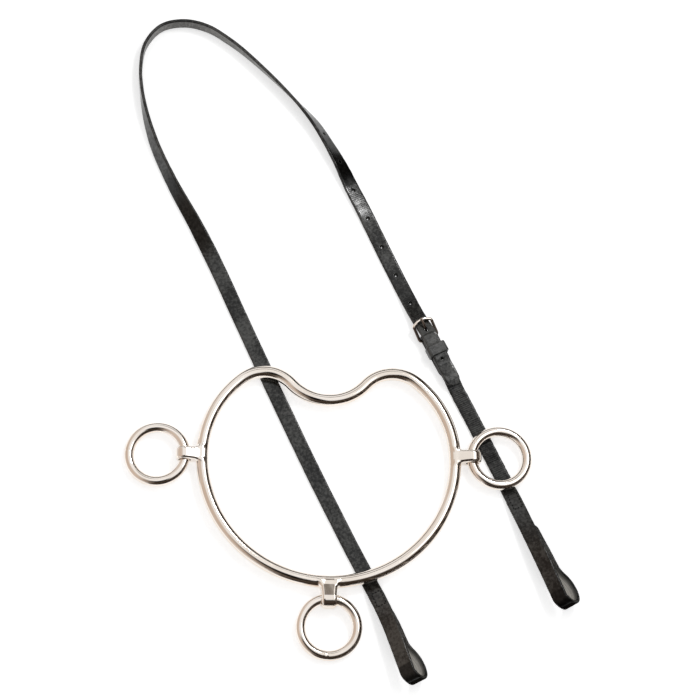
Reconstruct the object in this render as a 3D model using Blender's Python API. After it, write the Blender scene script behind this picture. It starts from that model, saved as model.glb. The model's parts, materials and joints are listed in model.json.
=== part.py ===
"""Anti-rearing bit: a heart-shaped mouth ring with three loose rings, lying on its leather headstrap.

The plan is drawn about the centre of the mouth ring's large arc, with +Y towards the heart's dip
and the floor at z = 0. The last step moves everything so that the origin is at the middle of the
whole object's bottom.
"""

import math

import bmesh
import bpy
import numpy as np
from mathutils import Matrix, Vector

MM = 0.001
UP = Vector((0, 0, 1))

# Clearance that neighbouring solids keep
GAP = 0.3 * MM

# Mouth ring: round rod, its centreline in arcs from the large one round to the dip
ROD_RADIUS = 3.72 * MM
MOUTH_RADIUS = 73.5 * MM
MOUTH_RISE_DEG = 3.6
SHOULDER_RADIUS = 59.9 * MM
SHOULDER_DEG = 47.2
LOBE_RADIUS = 21.7 * MM
LOBE_DEG = 87.1
ROD_SIDES = 14
LONG_ARC_STEP_DEG = 6
SHORT_ARC_STEP_DEG = 10

# Loose rings and the eyes that hold them
RING_RADIUS = 16.25 * MM
RING_WIRE_RADIUS = 3.0 * MM
EYE_CLEARANCE = 0.35 * MM
EYE_WALL = 2.3 * MM
EYE_WEB = 2.9 * MM
SIDE_EYE_LENGTH = 7.4 * MM
BOTTOM_EYE_LENGTH = 8.9 * MM
LEFT_EYE_Y = 1.2 * MM
RIGHT_EYE_Y = 1.8 * MM
BOTTOM_EYE_X = -0.4 * MM
NECK_FLARE = 4.2 * MM
NECK_END_GAP = 0.02 * MM
NECK_STEPS = 6
NECK_SIDES = 12
RIGHT_RING_TILT_DEG = 1.5
RING_SEGMENTS = 36
RING_SIDES = 12

# Strap leather
STRAP_WIDTH = 9.1 * MM
STRAP_THICKNESS = 2.0 * MM
EDGE_CHAMFER = 0.35 * MM
LEG_STEP = 5.0 * MM
BEND_STEP = 3.0 * MM
SLOPE_STEP = 0.5 * MM

# Buckle: the heel bar's middle, the way that the strap runs there, and the frame
BUCKLE_X = 59.8 * MM
BUCKLE_Y = 76.2 * MM
BUCKLE_HEADING_DEG = -63.0
BAR_RADIUS = 0.9 * MM
BAR_CLEARANCE = 0.25 * MM
FRAME_LENGTH = 10.7 * MM
FRAME_ARCH = 1.2 * MM
FRAME_SIDE_GAP = 0.4 * MM
FRAME_CORNER = 1.6 * MM
TONGUE_EYE_WALL = 1.0 * MM
TONGUE_EYE_WIDTH = 2.3 * MM
TONGUE_EYE_SIDE_GAP = 0.35 * MM
TONGUE_RADIUS = 0.7 * MM
TONGUE_TIP_RADIUS = 0.6 * MM
TONGUE_PAST_BAR = 0.9 * MM
TONGUE_AHEAD_IN_HOLE = 0.3 * MM
TONGUE_ROOT_DEG = 25
TONGUE_CREST = 0.3
SLOT_BEHIND_HEEL = 4.0 * MM
STRAIGHT_AHEAD = 14.0 * MM
STRAIGHT_BEHIND = 40.0 * MM

# Keeper band and the layers round the buckle, as distances from the heel bar
KEEPER_FROM_HEEL = 9.4 * MM
KEEPER_LENGTH = 6.5 * MM
KEEPER_THICKNESS = 1.2 * MM
KEEPER_PLAY = 0.4 * MM
KEEPER_CORNER_DEG = 90
KEEPER_STEP_DEG = 30
CHAPE_LENGTH = 25.5 * MM
CHAPE_RAMP = 6.5 * MM
CHAPE_FALL = 11.0 * MM
TAIL_LENGTH = 33.0 * MM
FALL_START = 1.0 * MM
FALL_LENGTH = 45.0 * MM
FALL_POWER = 2.3

# Adjusting holes, from the one that the tongue is in, which use has stretched
HOLE_RADIUS = 1.2 * MM
TONGUE_HOLE_RADIUS = 1.6 * MM
HOLE_PITCH = 19.85 * MM
HOLES_ABOVE = 8
HOLES_BELOW = 1
TONGUE_HOLE_FROM_HEEL = 4.5 * MM

# End loops of the headstrap, in the plane across the strap
LOOP_FRONT_RUN = 17.4 * MM
LOOP_TIP_RADIUS = 5.2 * MM
LOOP_BACK_RADIUS = 16.0 * MM
LOOP_NECK_RADIUS = 8.0 * MM
LOOP_SINK = 1.5 * MM
LOOP_SKEW = 2.6 * MM
TURNBACK_END_THICKNESS = 1.2 * MM

# Hook stud that closes each end loop, and the patch that holds it
STUD_FROM_NECK = 9.5 * MM
STUD_PLATE_RADIUS = 3.2 * MM
STUD_PLATE_THICKNESS = 0.6 * MM
STUD_POST_RADIUS = 1.5 * MM
STUD_HEAD_RADIUS = 3.0 * MM
STUD_HEAD_THICKNESS = 1.2 * MM
PATCH_THICKNESS = 1.3 * MM
PATCH_END_THICKNESS = 0.5 * MM
PATCH_FROM_NECK = 2.0 * MM
PATCH_STEP_LENGTH = 4.0 * MM
SKIVE_LENGTH = 12.0 * MM

# How far up the strap each end is doubled and lifted, and how far it is rolled at the neck
LIFT_BOW = 0.15
ROLL_POWER = 0.9
LEFT_ROLL_DEG = 30.0
LEFT_LIFT = 38.5 * MM
LEFT_PATCH_END = 34.0 * MM
LEFT_TURNBACK = 24.0 * MM
LEFT_SHIFT = 0.1 * MM
RIGHT_ROLL_DEG = 33.0
RIGHT_LIFT = 54.0 * MM
RIGHT_PATCH_END = 48.0 * MM
RIGHT_TURNBACK = 31.0 * MM
RIGHT_SHIFT = 0.9 * MM

# Plan of the long strap in mm from the left end's neck to the buckle, with its roll in degrees:
# it lies flat up the left leg, turns onto its edge round the top and flattens again.
LONG_ROUTE = (
    (38.1, -110.5, 0),
    (34.2, -98.5, 0),
    (29.1, -85.2, 0),
    (10.5, -47.2, 0),
    (-8.2, -8.8, 0),
    (-26.4, 30.4, 0),
    (-41.6, 63.7, 0),
    (-53.7, 90.7, 0),
    (-65.9, 118.0, 5),
    (-79.3, 144.8, 36),
    (-93.6, 171.2, 56),
    (-105.8, 199.3, 67),
    (-112.9, 229.8, 88),
    (-114.0, 245.9, 90),
    (-111.3, 261.8, 90),
    (-101.7, 273.7, 90),
    (-87.4, 277.1, 90),
    (-73.2, 273.9, 90),
    (-60.6, 266.1, 88),
    (-37.8, 246.2, 79),
    (-16.9, 224.1, 69),
    (-7.3, 212.4, 54),
    (0.6, 199.5, 45),
    (7.8, 186.3, 31),
    (14.2, 172.6, 10),
    (19.7, 161.4, 0),
    (36.5, 125.0, 0),
    (46.3, 104.1, 0),
)

# Plan of the short strap in mm, from the right end's neck to below the buckle
SHORT_ROUTE = (
    (125.2, -66.6, 0),
    (114.1, -38.4, 0),
    (106.0, -18.1, 0),
    (95.2, 4.9, 0),
)

STEEL = ("steel", (0.72, 0.66, 0.62), 0.12, 1.0)
LEATHER = ("leather", (0.022, 0.021, 0.022), 0.38, 0.0)
PATCH_LEATHER = ("patch_leather", (0.06, 0.05, 0.045), 0.6, 0.0)


# Values that follow from those above


def sagitta(length):
    """How far the ring's centreline bows over this length."""
    return RING_RADIUS - math.sqrt(RING_RADIUS**2 - (length / 2) ** 2)


def eye_bore(length):
    return RING_WIRE_RADIUS + sagitta(length) / 2 + EYE_CLEARANCE


def eye_reach(length):
    """From the rod's centreline to the eye's axis."""
    return ROD_RADIUS + EYE_WEB + eye_bore(length)


HALF_WIDTH = STRAP_WIDTH / 2
HALF_THICK = STRAP_THICKNESS / 2
ROD_HEIGHT = STRAP_THICKNESS + GAP + ROD_RADIUS
BUCKLE_ANGLE = math.radians(BUCKLE_HEADING_DEG)
BUCKLE_RUN = Vector((math.cos(BUCKLE_ANGLE), math.sin(BUCKLE_ANGLE), 0))
BUCKLE_PLAN = Vector((BUCKLE_X, BUCKLE_Y, 0))

CHAPE_RADIUS = BAR_RADIUS + BAR_CLEARANCE + HALF_THICK
HEEL_HEIGHT = HALF_THICK + CHAPE_RADIUS
CHAPE_TOP = HEEL_HEIGHT + CHAPE_RADIUS
LAYER = STRAP_THICKNESS + GAP
KEEPER_LAYER = HALF_THICK + LAYER + GAP + KEEPER_THICKNESS

# Depths behind the front layer's middle, in the doubled ends at the stud
PLATE_START = HALF_THICK + GAP
PLATE_END = PLATE_START + STUD_PLATE_THICKNESS
TURNBACK_DEPTH = PLATE_END + GAP + PATCH_THICKNESS + GAP + HALF_THICK
HEAD_START = TURNBACK_DEPTH + HALF_THICK + GAP
HEAD_END = HEAD_START + STUD_HEAD_THICKNESS


def clear_scene():
    for obj in list(bpy.data.objects):
        bpy.data.objects.remove(obj, do_unlink=True)


def material(spec):
    name, colour, roughness, metallic = spec
    found = bpy.data.materials.get(name)
    if found:
        return found
    made = bpy.data.materials.new(name)
    made.use_nodes = True
    shader = made.node_tree.nodes["Principled BSDF"]
    shader.inputs["Base Color"].default_value = (*colour, 1)
    shader.inputs["Roughness"].default_value = roughness
    shader.inputs["Metallic"].default_value = metallic
    return made


def mesh_object(name, points, faces, finish, parent=None):
    """A new object of these points and faces, with its faces turned outwards."""
    mesh = bpy.data.meshes.new(name)
    shape = bmesh.new()
    corners = [shape.verts.new(point) for point in points]
    for face in faces:
        shape.faces.new([corners[i] for i in face])
    bmesh.ops.recalc_face_normals(shape, faces=shape.faces)
    shape.to_mesh(mesh)
    shape.free()
    mesh.shade_smooth()
    mesh.set_sharp_from_angle(angle=math.radians(35))
    mesh.materials.append(material(finish))
    obj = bpy.data.objects.new(name, mesh)
    bpy.context.scene.collection.objects.link(obj)
    obj.parent = parent
    return obj


def empty(name, place, parent=None, turn=0.0):
    obj = bpy.data.objects.new(name, None)
    bpy.context.scene.collection.objects.link(obj)
    obj.parent = parent
    obj.location = place
    obj.rotation_euler = (0, 0, turn)
    return obj


def boolean(obj, helper, operation):
    """Joins or cuts obj with a hidden helper object."""
    helper.hide_render = True
    helper.display_type = "WIRE"
    modifier = obj.modifiers.new(helper.name, "BOOLEAN")
    modifier.object = helper
    modifier.operation = operation
    modifier.solver = "EXACT"


def rings_to_faces(rings, count, closed):
    """Faces of a skin over rings of count points each, with end caps where it isn't closed."""
    faces = []
    for ring in range(rings if closed else rings - 1):
        here = ring * count
        there = (ring + 1) % rings * count
        for side in range(count):
            after = (side + 1) % count
            faces.append((here + side, here + after, there + after, there + side))
    if not closed:
        faces.append(tuple(range(count)))
        faces.append(tuple(range((rings - 1) * count, rings * count)))
    return faces


def tube(name, path, across, radii, sides, finish, parent=None, closed=False):
    """Round bar along a flat path. across is the normal of the path's plane."""
    points = []
    count = len(path)
    for i, place in enumerate(path):
        before = path[i - 1] if closed or i > 0 else place
        after = path[(i + 1) % count] if closed or i < count - 1 else place
        side = (after - before).cross(across).normalized()
        radius = radii[i] if isinstance(radii, list) else radii
        for k in range(sides):
            angle = 2 * math.pi * (k + 0.5) / sides
            points.append(place + radius * (math.cos(angle) * side + math.sin(angle) * across))
    return mesh_object(name, points, rings_to_faces(count, sides, closed), finish, parent)


def turned(name, profile, sides, finish, parent=None):
    """Solid turned about local Z from (radius, height) corners, bottom to top."""
    points = []
    for radius, height in profile:
        for k in range(sides):
            angle = 2 * math.pi * k / sides
            points.append(Vector((radius * math.cos(angle), radius * math.sin(angle), height)))
    return mesh_object(name, points, rings_to_faces(len(profile), sides, False), finish, parent)


def axis_matrix(place, axis):
    """Places local Z along axis."""
    return Matrix.Translation(place) @ axis.to_track_quat("Z", "Y").to_matrix().to_4x4()


def cylinder(name, place, axis, radius, length, sides, finish, parent=None):
    profile = ((radius, -length / 2), (radius, length / 2))
    obj = turned(name, profile, sides, finish, parent)
    obj.data.transform(axis_matrix(place, axis))
    return obj


def arc(centre, radius, start_deg, turn_deg, step_deg):
    """Points from one end of an arc to just before the other."""
    steps = max(1, math.ceil(abs(turn_deg) / step_deg))
    points = []
    for i in range(steps):
        angle = math.radians(start_deg + turn_deg * i / steps)
        points.append(centre + radius * Vector((math.cos(angle), math.sin(angle), 0)))
    return points


def heart_centreline():
    """Rod centreline, anticlockwise from the bottom, in arcs that meet smoothly."""
    middle = Vector((0, 0, ROD_HEIGHT))
    points = arc(middle, MOUTH_RADIUS, -90, 90 + MOUTH_RISE_DEG, LONG_ARC_STEP_DEG)
    angle = MOUTH_RISE_DEG
    radius = MOUTH_RADIUS
    for next_radius, turn, step in (
        (SHOULDER_RADIUS, SHOULDER_DEG, LONG_ARC_STEP_DEG),
        (LOBE_RADIUS, LOBE_DEG, SHORT_ARC_STEP_DEG),
    ):
        way = Vector((math.cos(math.radians(angle)), math.sin(math.radians(angle)), 0))
        middle = middle + (radius - next_radius) * way
        radius = next_radius
        points += arc(middle, radius, angle, turn, step)
        angle += turn
    way = Vector((math.cos(math.radians(angle)), math.sin(math.radians(angle)), 0))
    dip_start = middle + radius * way
    dip_radius = dip_start.x / -way.x
    dip_middle = dip_start + dip_radius * way
    points += arc(dip_middle, dip_radius, angle + 180, 90 - angle, SHORT_ARC_STEP_DEG)
    lowest = dip_middle - Vector((0, dip_radius, 0))
    mirrored = [Vector((-p.x, p.y, p.z)) for p in reversed(points[1:])]
    return points + [lowest] + mirrored


def eye_neck(name, root, outward, along, length, reach, parent):
    """Flared neck that carries an eye from the rod's middle to the eye's axis."""
    barrel_radius = eye_bore(length) + EYE_WALL
    points = []
    for i in range(NECK_STEPS):
        share = i / (NECK_STEPS - 1)
        distance = share * reach
        half_length = length / 2 + NECK_FLARE * (1 - share) ** 2.4 - NECK_END_GAP
        half_height = ROD_RADIUS * 0.9 * (1 - share) + barrel_radius * 0.86 * share
        for k in range(NECK_SIDES):
            angle = 2 * math.pi * (k + 0.5) / NECK_SIDES
            wide = math.copysign(abs(math.cos(angle)) ** 0.45, math.cos(angle))
            high = math.copysign(abs(math.sin(angle)) ** 0.7, math.sin(angle))
            points.append(
                root + distance * outward + wide * half_length * along + high * half_height * UP
            )
    faces = rings_to_faces(NECK_STEPS, NECK_SIDES, False)
    return mesh_object(name, points, faces, STEEL, parent)


def mouth_ring(parent):
    """Heart-shaped rod with its three eyes, cast in one piece."""
    obj = tube(
        "bit_mouth_ring", heart_centreline(), UP, ROD_RADIUS, ROD_SIDES, STEEL, parent, True
    )
    for name, place in EYES.items():
        length = place["length"]
        radius = eye_bore(length) + EYE_WALL
        reach = eye_reach(length)
        root = place["axis_point"] - reach * place["outward"]
        neck = eye_neck(
            name + "_neck", root, place["outward"], place["along"], length, reach, parent
        )
        boolean(obj, neck, "UNION")
        barrel = cylinder(
            name + "_barrel", place["axis_point"], place["along"], radius, length, 20, STEEL, parent
        )
        boolean(obj, barrel, "UNION")
        bore = cylinder(
            name + "_bore",
            place["axis_point"],
            place["along"],
            eye_bore(length),
            length + 2 * ROD_RADIUS,
            20,
            STEEL,
            parent,
        )
        boolean(obj, bore, "DIFFERENCE")
    return obj


def eye(x, y, outward, along, length):
    return {
        "axis_point": Vector((x, y, ROD_HEIGHT)),
        "outward": outward,
        "along": along,
        "length": length,
    }


def side_eye_x():
    return MOUTH_RADIUS + eye_reach(SIDE_EYE_LENGTH)


EYES = {
    "left": eye(-side_eye_x(), LEFT_EYE_Y, Vector((-1, 0, 0)), Vector((0, 1, 0)), SIDE_EYE_LENGTH),
    "right": eye(side_eye_x(), RIGHT_EYE_Y, Vector((1, 0, 0)), Vector((0, 1, 0)), SIDE_EYE_LENGTH),
    "bottom": eye(
        BOTTOM_EYE_X,
        -MOUTH_RADIUS - eye_reach(BOTTOM_EYE_LENGTH),
        Vector((0, -1, 0)),
        Vector((1, 0, 0)),
        BOTTOM_EYE_LENGTH,
    ),
}


def loose_ring(name, place, droop, parent):
    """Ring through an eye, its origin on the eye's axis, its outer side lowered by droop."""
    middle_distance = RING_RADIUS - sagitta(place["length"]) / 2
    outward = place["outward"] * math.cos(droop) - UP * math.sin(droop)
    across = outward.cross(place["along"]).normalized()
    middle = middle_distance * outward
    path = []
    for i in range(RING_SEGMENTS):
        angle = 2 * math.pi * i / RING_SEGMENTS
        path.append(
            middle + RING_RADIUS * (math.cos(angle) * outward + math.sin(angle) * place["along"])
        )
    obj = tube(name, path, across, RING_WIRE_RADIUS, RING_SIDES, STEEL, parent, True)
    obj.location = place["axis_point"]
    return obj


def droop_to_floor(place):
    """Angle at which the ring's outer side rests on the floor."""
    reach = 2 * RING_RADIUS - sagitta(place["length"]) / 2
    return math.asin((ROD_HEIGHT - RING_WIRE_RADIUS) / reach)


def smooth_plan(keys):
    """Route through the keys as finely spaced (x, y, roll) rows, with each row's distance."""
    keys = np.array(keys, float) * (MM, MM, 1)
    along = np.concatenate([[0], np.cumsum(np.hypot(*np.diff(keys[:, :2], axis=0).T))])
    slope = np.gradient(keys[:, :2], along, axis=0)
    fine = np.linspace(0, along[-1], 1500)
    index = np.clip(np.searchsorted(along, fine, side="right") - 1, 0, len(along) - 2)
    span = (along[index + 1] - along[index])[:, None]
    part = (fine - along[index])[:, None] / span
    plan = (
        (1 + 2 * part) * (1 - part) ** 2 * keys[index, :2]
        + part * (1 - part) ** 2 * span * slope[index]
        + part**2 * (3 - 2 * part) * keys[index + 1, :2]
        + part**2 * (part - 1) * span * slope[index + 1]
    )
    distance = np.concatenate([[0], np.cumsum(np.hypot(*np.diff(plan, axis=0).T))])
    roll = np.interp(fine, along, keys[:, 2])
    return plan, roll, distance


def ease(value):
    value = min(1.0, max(0.0, value))
    return value * value * (3 - 2 * value)


def short_height(behind):
    """Middle height of the short strap's upper layer, this far behind the heel bar."""
    keeper_start = KEEPER_FROM_HEEL - KEEPER_LENGTH / 2
    keeper_end = KEEPER_FROM_HEEL + KEEPER_LENGTH / 2
    height = CHAPE_TOP
    height -= (CHAPE_TOP - KEEPER_LAYER) * ease(behind / keeper_start)
    height -= (KEEPER_LAYER - HALF_THICK - LAYER) * ease((behind - keeper_end) / CHAPE_RAMP)
    height -= LAYER * ease((behind - CHAPE_LENGTH - GAP) / CHAPE_FALL)
    return height


def long_height(behind):
    """Middle height of the long strap near the buckle."""
    if behind > 0:
        return short_height(behind) + LAYER
    share = min(1.0, max(0.0, 1 + (behind + FALL_START) / FALL_LENGTH))
    return HALF_THICK + (CHAPE_TOP + LAYER - HALF_THICK) * share**FALL_POWER


def loop_arcs():
    """End loop's arcs as (centre, radius, first angle, last angle), from the turned-back layer.

    The centre is (u, w): u runs from the neck to the tip and w is the depth behind the front
    layer's middle. The angle is that of travel, and a negative radius bends away from the front.
    """
    neck = Vector((0, TURNBACK_DEPTH + LOOP_NECK_RADIUS))
    tip = Vector((LOOP_FRONT_RUN, LOOP_TIP_RADIUS))
    apart = (tip - neck).length
    to_tip = (tip - neck).normalized()
    from_neck = LOOP_BACK_RADIUS + LOOP_NECK_RADIUS
    from_tip = LOOP_BACK_RADIUS - LOOP_TIP_RADIUS
    reach = (from_neck**2 - from_tip**2 + apart**2) / (2 * apart)
    aside = math.sqrt(from_neck**2 - reach**2)
    back = neck + reach * to_tip + aside * Vector((to_tip.y, -to_tip.x))
    start = math.atan2(back.x - neck.x, neck.y - back.y)
    meet = -math.atan2(tip.x - back.x, tip.y - back.y)
    return (
        (neck, -LOOP_NECK_RADIUS, 0.0, start),
        (back, LOOP_BACK_RADIUS, start, meet),
        (tip, LOOP_TIP_RADIUS, meet, -math.pi),
    )


def loop_depth():
    """Greatest depth of the loop's middle line behind the front layer's."""
    centre, radius, _, _ = loop_arcs()[1]
    return centre.y + radius


def spaced(start, end, step):
    """Evenly spaced distances from start to end, near the step asked for."""
    count = max(1, round(abs(end - start) / step))
    return [start + (end - start) * i / count for i in range(count + 1)]


class Strap:
    """Route of a strap's front layer, by the distance from its end loop's neck."""

    def __init__(self, keys, end, height_at_buckle, sense):
        self.plan, self.roll, self.distance = smooth_plan(keys)
        roll_deg, self.lift, self.patch_end, self.turnback, self.shift = end
        self.neck_roll = math.radians(roll_deg)
        self.height_at_buckle = height_at_buckle
        self.sense = sense
        from_heel = np.hypot(self.plan[:, 0] - BUCKLE_X, self.plan[:, 1] - BUCKLE_Y)
        self.heel = float(self.distance[int(np.argmin(from_heel))])
        self.length = float(self.distance[-1])

    def height_and_roll(self, distance):
        share = max(0.0, 1 - distance / self.lift)
        if share > 0:
            roll = self.neck_roll * share**ROLL_POWER
            depth = loop_depth() - LOOP_SINK
            stack = HALF_THICK + depth * share * (1 + LIFT_BOW * (1 - share))
            return stack * math.cos(roll) + HALF_WIDTH * math.sin(roll), roll
        roll = math.radians(float(np.interp(distance, self.distance, self.roll)))
        height = HALF_WIDTH * math.sin(roll) + HALF_THICK * math.cos(roll)
        behind_heel = self.sense * (distance - self.heel)
        return max(height, self.height_at_buckle(behind_heel)), roll

    def middle(self, distance):
        x = np.interp(distance, self.distance, self.plan[:, 0])
        y = np.interp(distance, self.distance, self.plan[:, 1])
        return Vector((x, y, self.height_and_roll(distance)[0]))

    def frame(self, distance):
        """Middle, way towards the end loop, width direction and face normal at a distance."""
        low = max(0.0, distance - SLOPE_STEP)
        high = min(self.length, distance + SLOPE_STEP)
        way = (self.middle(low) - self.middle(high)).normalized()
        level = UP.cross(way).normalized()
        rise = way.cross(level)
        roll = self.height_and_roll(distance)[1]
        across = level * math.cos(roll) + rise * math.sin(roll)
        normal = rise * math.cos(roll) - level * math.sin(roll)
        return self.middle(distance), way, across, normal

    def behind(self, distance, depth):
        """Point at a depth behind the front layer's middle, with its width direction and normal."""
        middle, _, across, normal = self.frame(distance)
        return middle - depth * normal, across, normal

    def patch_front(self, distance):
        """Depth of the patch's front face: it steps down where the stud's plate ends."""
        past_plate = distance - STUD_FROM_NECK - STUD_PLATE_RADIUS - GAP
        over_plate = 1 - ease(past_plate / PATCH_STEP_LENGTH)
        return PLATE_START + (STUD_PLATE_THICKNESS + GAP) * over_plate

    def patch_thickness(self, distance):
        skive = ease(1 - (self.patch_end - distance) / SKIVE_LENGTH)
        return PATCH_THICKNESS - (PATCH_THICKNESS - PATCH_END_THICKNESS) * skive

    def turnback_thickness(self, distance):
        skive = ease(1 - (self.turnback - distance) / SKIVE_LENGTH)
        return STRAP_THICKNESS - (STRAP_THICKNESS - TURNBACK_END_THICKNESS) * skive

    def end_loop(self):
        """Stations from the turned-back end, round the loop, to just before the neck."""
        stations = []
        for distance in spaced(self.turnback, 0, BEND_STEP)[:-1]:
            thickness = self.turnback_thickness(distance)
            depth = self.patch_front(distance) + self.patch_thickness(distance)
            place, across, normal = self.behind(distance, depth + GAP + thickness / 2)
            place += across * self.shift
            share = tip_share(self.turnback - distance)
            stations.append((place, across, -normal, share, thickness))
        middle, way, across, normal = self.frame(0)
        length = sum(abs((end - start) * radius) for _, radius, start, end in loop_arcs())
        passed = 0.0
        for centre, radius, start, end in loop_arcs():
            count = max(2, math.ceil(abs((end - start) * radius) / BEND_STEP))
            if radius == LOOP_TIP_RADIUS:
                count *= 2
            for i in range(count):
                angle = start + (end - start) * i / count
                outward = Vector((-math.sin(angle), math.cos(angle)))
                spot = centre + radius * outward
                done = (passed + abs((angle - start) * radius)) / length
                aside = self.shift * (1 - done) + LOOP_SKEW * math.sin(math.pi * done)
                place = middle + spot.x * way - spot.y * normal + aside * across
                facing = outward.x * way - outward.y * normal
                stations.append((place, across, facing, 1.0, STRAP_THICKNESS))
            passed += abs((end - start) * radius)
        for u in spaced(LOOP_FRONT_RUN, 0, LEG_STEP)[:-1]:
            stations.append((middle + u * way, across, normal, 1.0, STRAP_THICKNESS))
        return stations

    def leg(self, start, end, step, tip=False):
        """Stations of the front layer, with a rounded tip at the end if asked for."""
        stations = []
        for distance in spaced(start, end, step):
            middle, _, across, normal = self.frame(distance)
            share = tip_share(end - distance) if tip else 1.0
            stations.append((middle, across, normal, share, STRAP_THICKNESS))
        return stations


def ribbon(name, stations, finish, parent, closed=False, full_width=STRAP_WIDTH):
    """Leather band through stations of (middle, width direction, normal, share, thickness)."""
    points = []
    for middle, across, normal, share, thickness in stations:
        half_width = full_width * share / 2
        half_thick = thickness / 2
        cut = min(EDGE_CHAMFER, half_thick * 0.6, half_width * 0.6)
        for wide, high in (
            (half_width, half_thick - cut),
            (half_width - cut, half_thick),
            (cut - half_width, half_thick),
            (-half_width, half_thick - cut),
            (-half_width, cut - half_thick),
            (cut - half_width, -half_thick),
            (half_width - cut, -half_thick),
            (half_width, cut - half_thick),
        ):
            points.append(middle + wide * across + high * normal)
    return mesh_object(name, points, rings_to_faces(len(stations), 8, closed), finish, parent)


def tip_share(from_tip):
    """Share of the full width this far from a rounded tip."""
    inside = min(1.0, max(0.0, from_tip / HALF_WIDTH))
    return max(0.3, math.sqrt(1 - (1 - inside) ** 2))


def keys_at_buckle(*distances):
    """Route keys on the buckle's line, at these distances behind the heel bar."""
    keys = []
    for distance in distances:
        place = (BUCKLE_PLAN + distance * BUCKLE_RUN) / MM
        keys.append((place.x, place.y, 0))
    return tuple(keys)


LONG_STRAP = Strap(
    LONG_ROUTE + keys_at_buckle(-STRAIGHT_AHEAD, 0, TAIL_LENGTH),
    (LEFT_ROLL_DEG, LEFT_LIFT, LEFT_PATCH_END, LEFT_TURNBACK, LEFT_SHIFT),
    long_height,
    1,
)
SHORT_STRAP = Strap(
    SHORT_ROUTE + keys_at_buckle(STRAIGHT_BEHIND, 0),
    (RIGHT_ROLL_DEG, RIGHT_LIFT, RIGHT_PATCH_END, RIGHT_TURNBACK, RIGHT_SHIFT),
    short_height,
    -1,
)


def stud_hole(name, strap, front, back, parent):
    """Cutter for the stud's post through the layers between two depths."""
    place, _, normal = strap.behind(STUD_FROM_NECK, (front + back) / 2)
    return cylinder(
        name, place, normal, STUD_POST_RADIUS + GAP, abs(back - front), 12, STEEL, parent
    )


def point_strap(parent):
    """Long strap: end loop, left leg, turn, right leg with its holes, and the tail."""
    strap = LONG_STRAP
    fall = strap.heel - FALL_LENGTH
    stations = strap.end_loop()
    stations += strap.leg(0, strap.lift, BEND_STEP)[:-1]
    stations += strap.leg(strap.lift, fall, LEG_STEP)[:-1]
    stations += strap.leg(fall, strap.heel - HALF_WIDTH, LEG_STEP)[:-1]
    stations += strap.leg(strap.heel - HALF_WIDTH, strap.length, BEND_STEP / 2, True)
    obj = ribbon("point_strap", stations, LEATHER, parent)
    first = strap.heel - TONGUE_HOLE_FROM_HEEL
    for i in range(-HOLES_BELOW, HOLES_ABOVE + 1):
        place, _, _, normal = strap.frame(first - i * HOLE_PITCH)
        name = f"strap_hole_{i + HOLES_BELOW}"
        radius = TONGUE_HOLE_RADIUS if i == 0 else HOLE_RADIUS
        hole = cylinder(name, place, normal, radius, 3 * STRAP_THICKNESS, 14, LEATHER, parent)
        boolean(obj, hole, "DIFFERENCE")
    behind_patch = PLATE_END + GAP + PATCH_THICKNESS
    hole = stud_hole("left_turnback_hole", strap, behind_patch, HEAD_START, parent)
    boolean(obj, hole, "DIFFERENCE")
    return obj


def buckle_strap(parent):
    """Short strap: end loop, run to the buckle, bend round its heel bar and stitched return."""
    strap = SHORT_STRAP
    upper = strap.heel - CHAPE_LENGTH - CHAPE_FALL
    stations = strap.end_loop()
    stations += strap.leg(0, strap.lift, BEND_STEP)[:-1]
    stations += strap.leg(strap.lift, upper, LEG_STEP)[:-1]
    stations += strap.leg(upper, strap.heel, BEND_STEP / 2)[:-1]
    heel = BUCKLE_PLAN + HEEL_HEIGHT * UP
    level = UP.cross(BUCKLE_RUN)
    for angle in spaced(0, math.pi, math.radians(22.5)):
        facing = math.cos(angle) * UP - math.sin(angle) * BUCKLE_RUN
        stations.append((heel + CHAPE_RADIUS * facing, level, facing, 1.0, STRAP_THICKNESS))
    for distance in spaced(0, CHAPE_LENGTH, LEG_STEP)[1:]:
        place = BUCKLE_PLAN + distance * BUCKLE_RUN + HALF_THICK * UP
        share = tip_share(CHAPE_LENGTH - distance)
        stations.append((place, level, -UP, share, STRAP_THICKNESS))
    obj = ribbon("buckle_strap", stations, LEATHER, parent)
    slot_front = CHAPE_RADIUS + STRAP_THICKNESS
    slot = box(
        "tongue_slot",
        (-SLOT_BEHIND_HEEL, -TONGUE_EYE_WIDTH / 2 - TONGUE_EYE_SIDE_GAP, -HEEL_HEIGHT - GAP),
        (slot_front, TONGUE_EYE_WIDTH / 2 + TONGUE_EYE_SIDE_GAP, CHAPE_TOP),
        parent,
    )
    slot.data.transform(buckle_matrix())
    boolean(obj, slot, "DIFFERENCE")
    behind_patch = PLATE_END + GAP + PATCH_THICKNESS
    hole = stud_hole("right_turnback_hole", strap, behind_patch, HEAD_START, parent)
    boolean(obj, hole, "DIFFERENCE")
    return obj


def buckle_matrix():
    """Buckle's own axes: X from the heel bar towards the far bar, Z up."""
    turn = math.atan2(-BUCKLE_RUN.y, -BUCKLE_RUN.x)
    return Matrix.Translation(BUCKLE_PLAN + HEEL_HEIGHT * UP) @ Matrix.Rotation(turn, 4, "Z")


def box(name, low, high, parent):
    points = []
    for z in (low[2], high[2]):
        for x, y in ((low[0], low[1]), (high[0], low[1]), (high[0], high[1]), (low[0], high[1])):
            points.append((x, y, z))
    return mesh_object(name, points, rings_to_faces(2, 4, False), LEATHER, parent)


def frame_tilt():
    """Tilt at which the far bar lies on the strap that passes under it."""
    tilt = 0.0
    for _ in range(12):
        top = long_height(-FRAME_LENGTH * math.cos(tilt)) + HALF_THICK
        rise = (top + GAP + BAR_RADIUS - HEEL_HEIGHT) / FRAME_LENGTH
        tilt = math.asin(rise)
    return tilt


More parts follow.
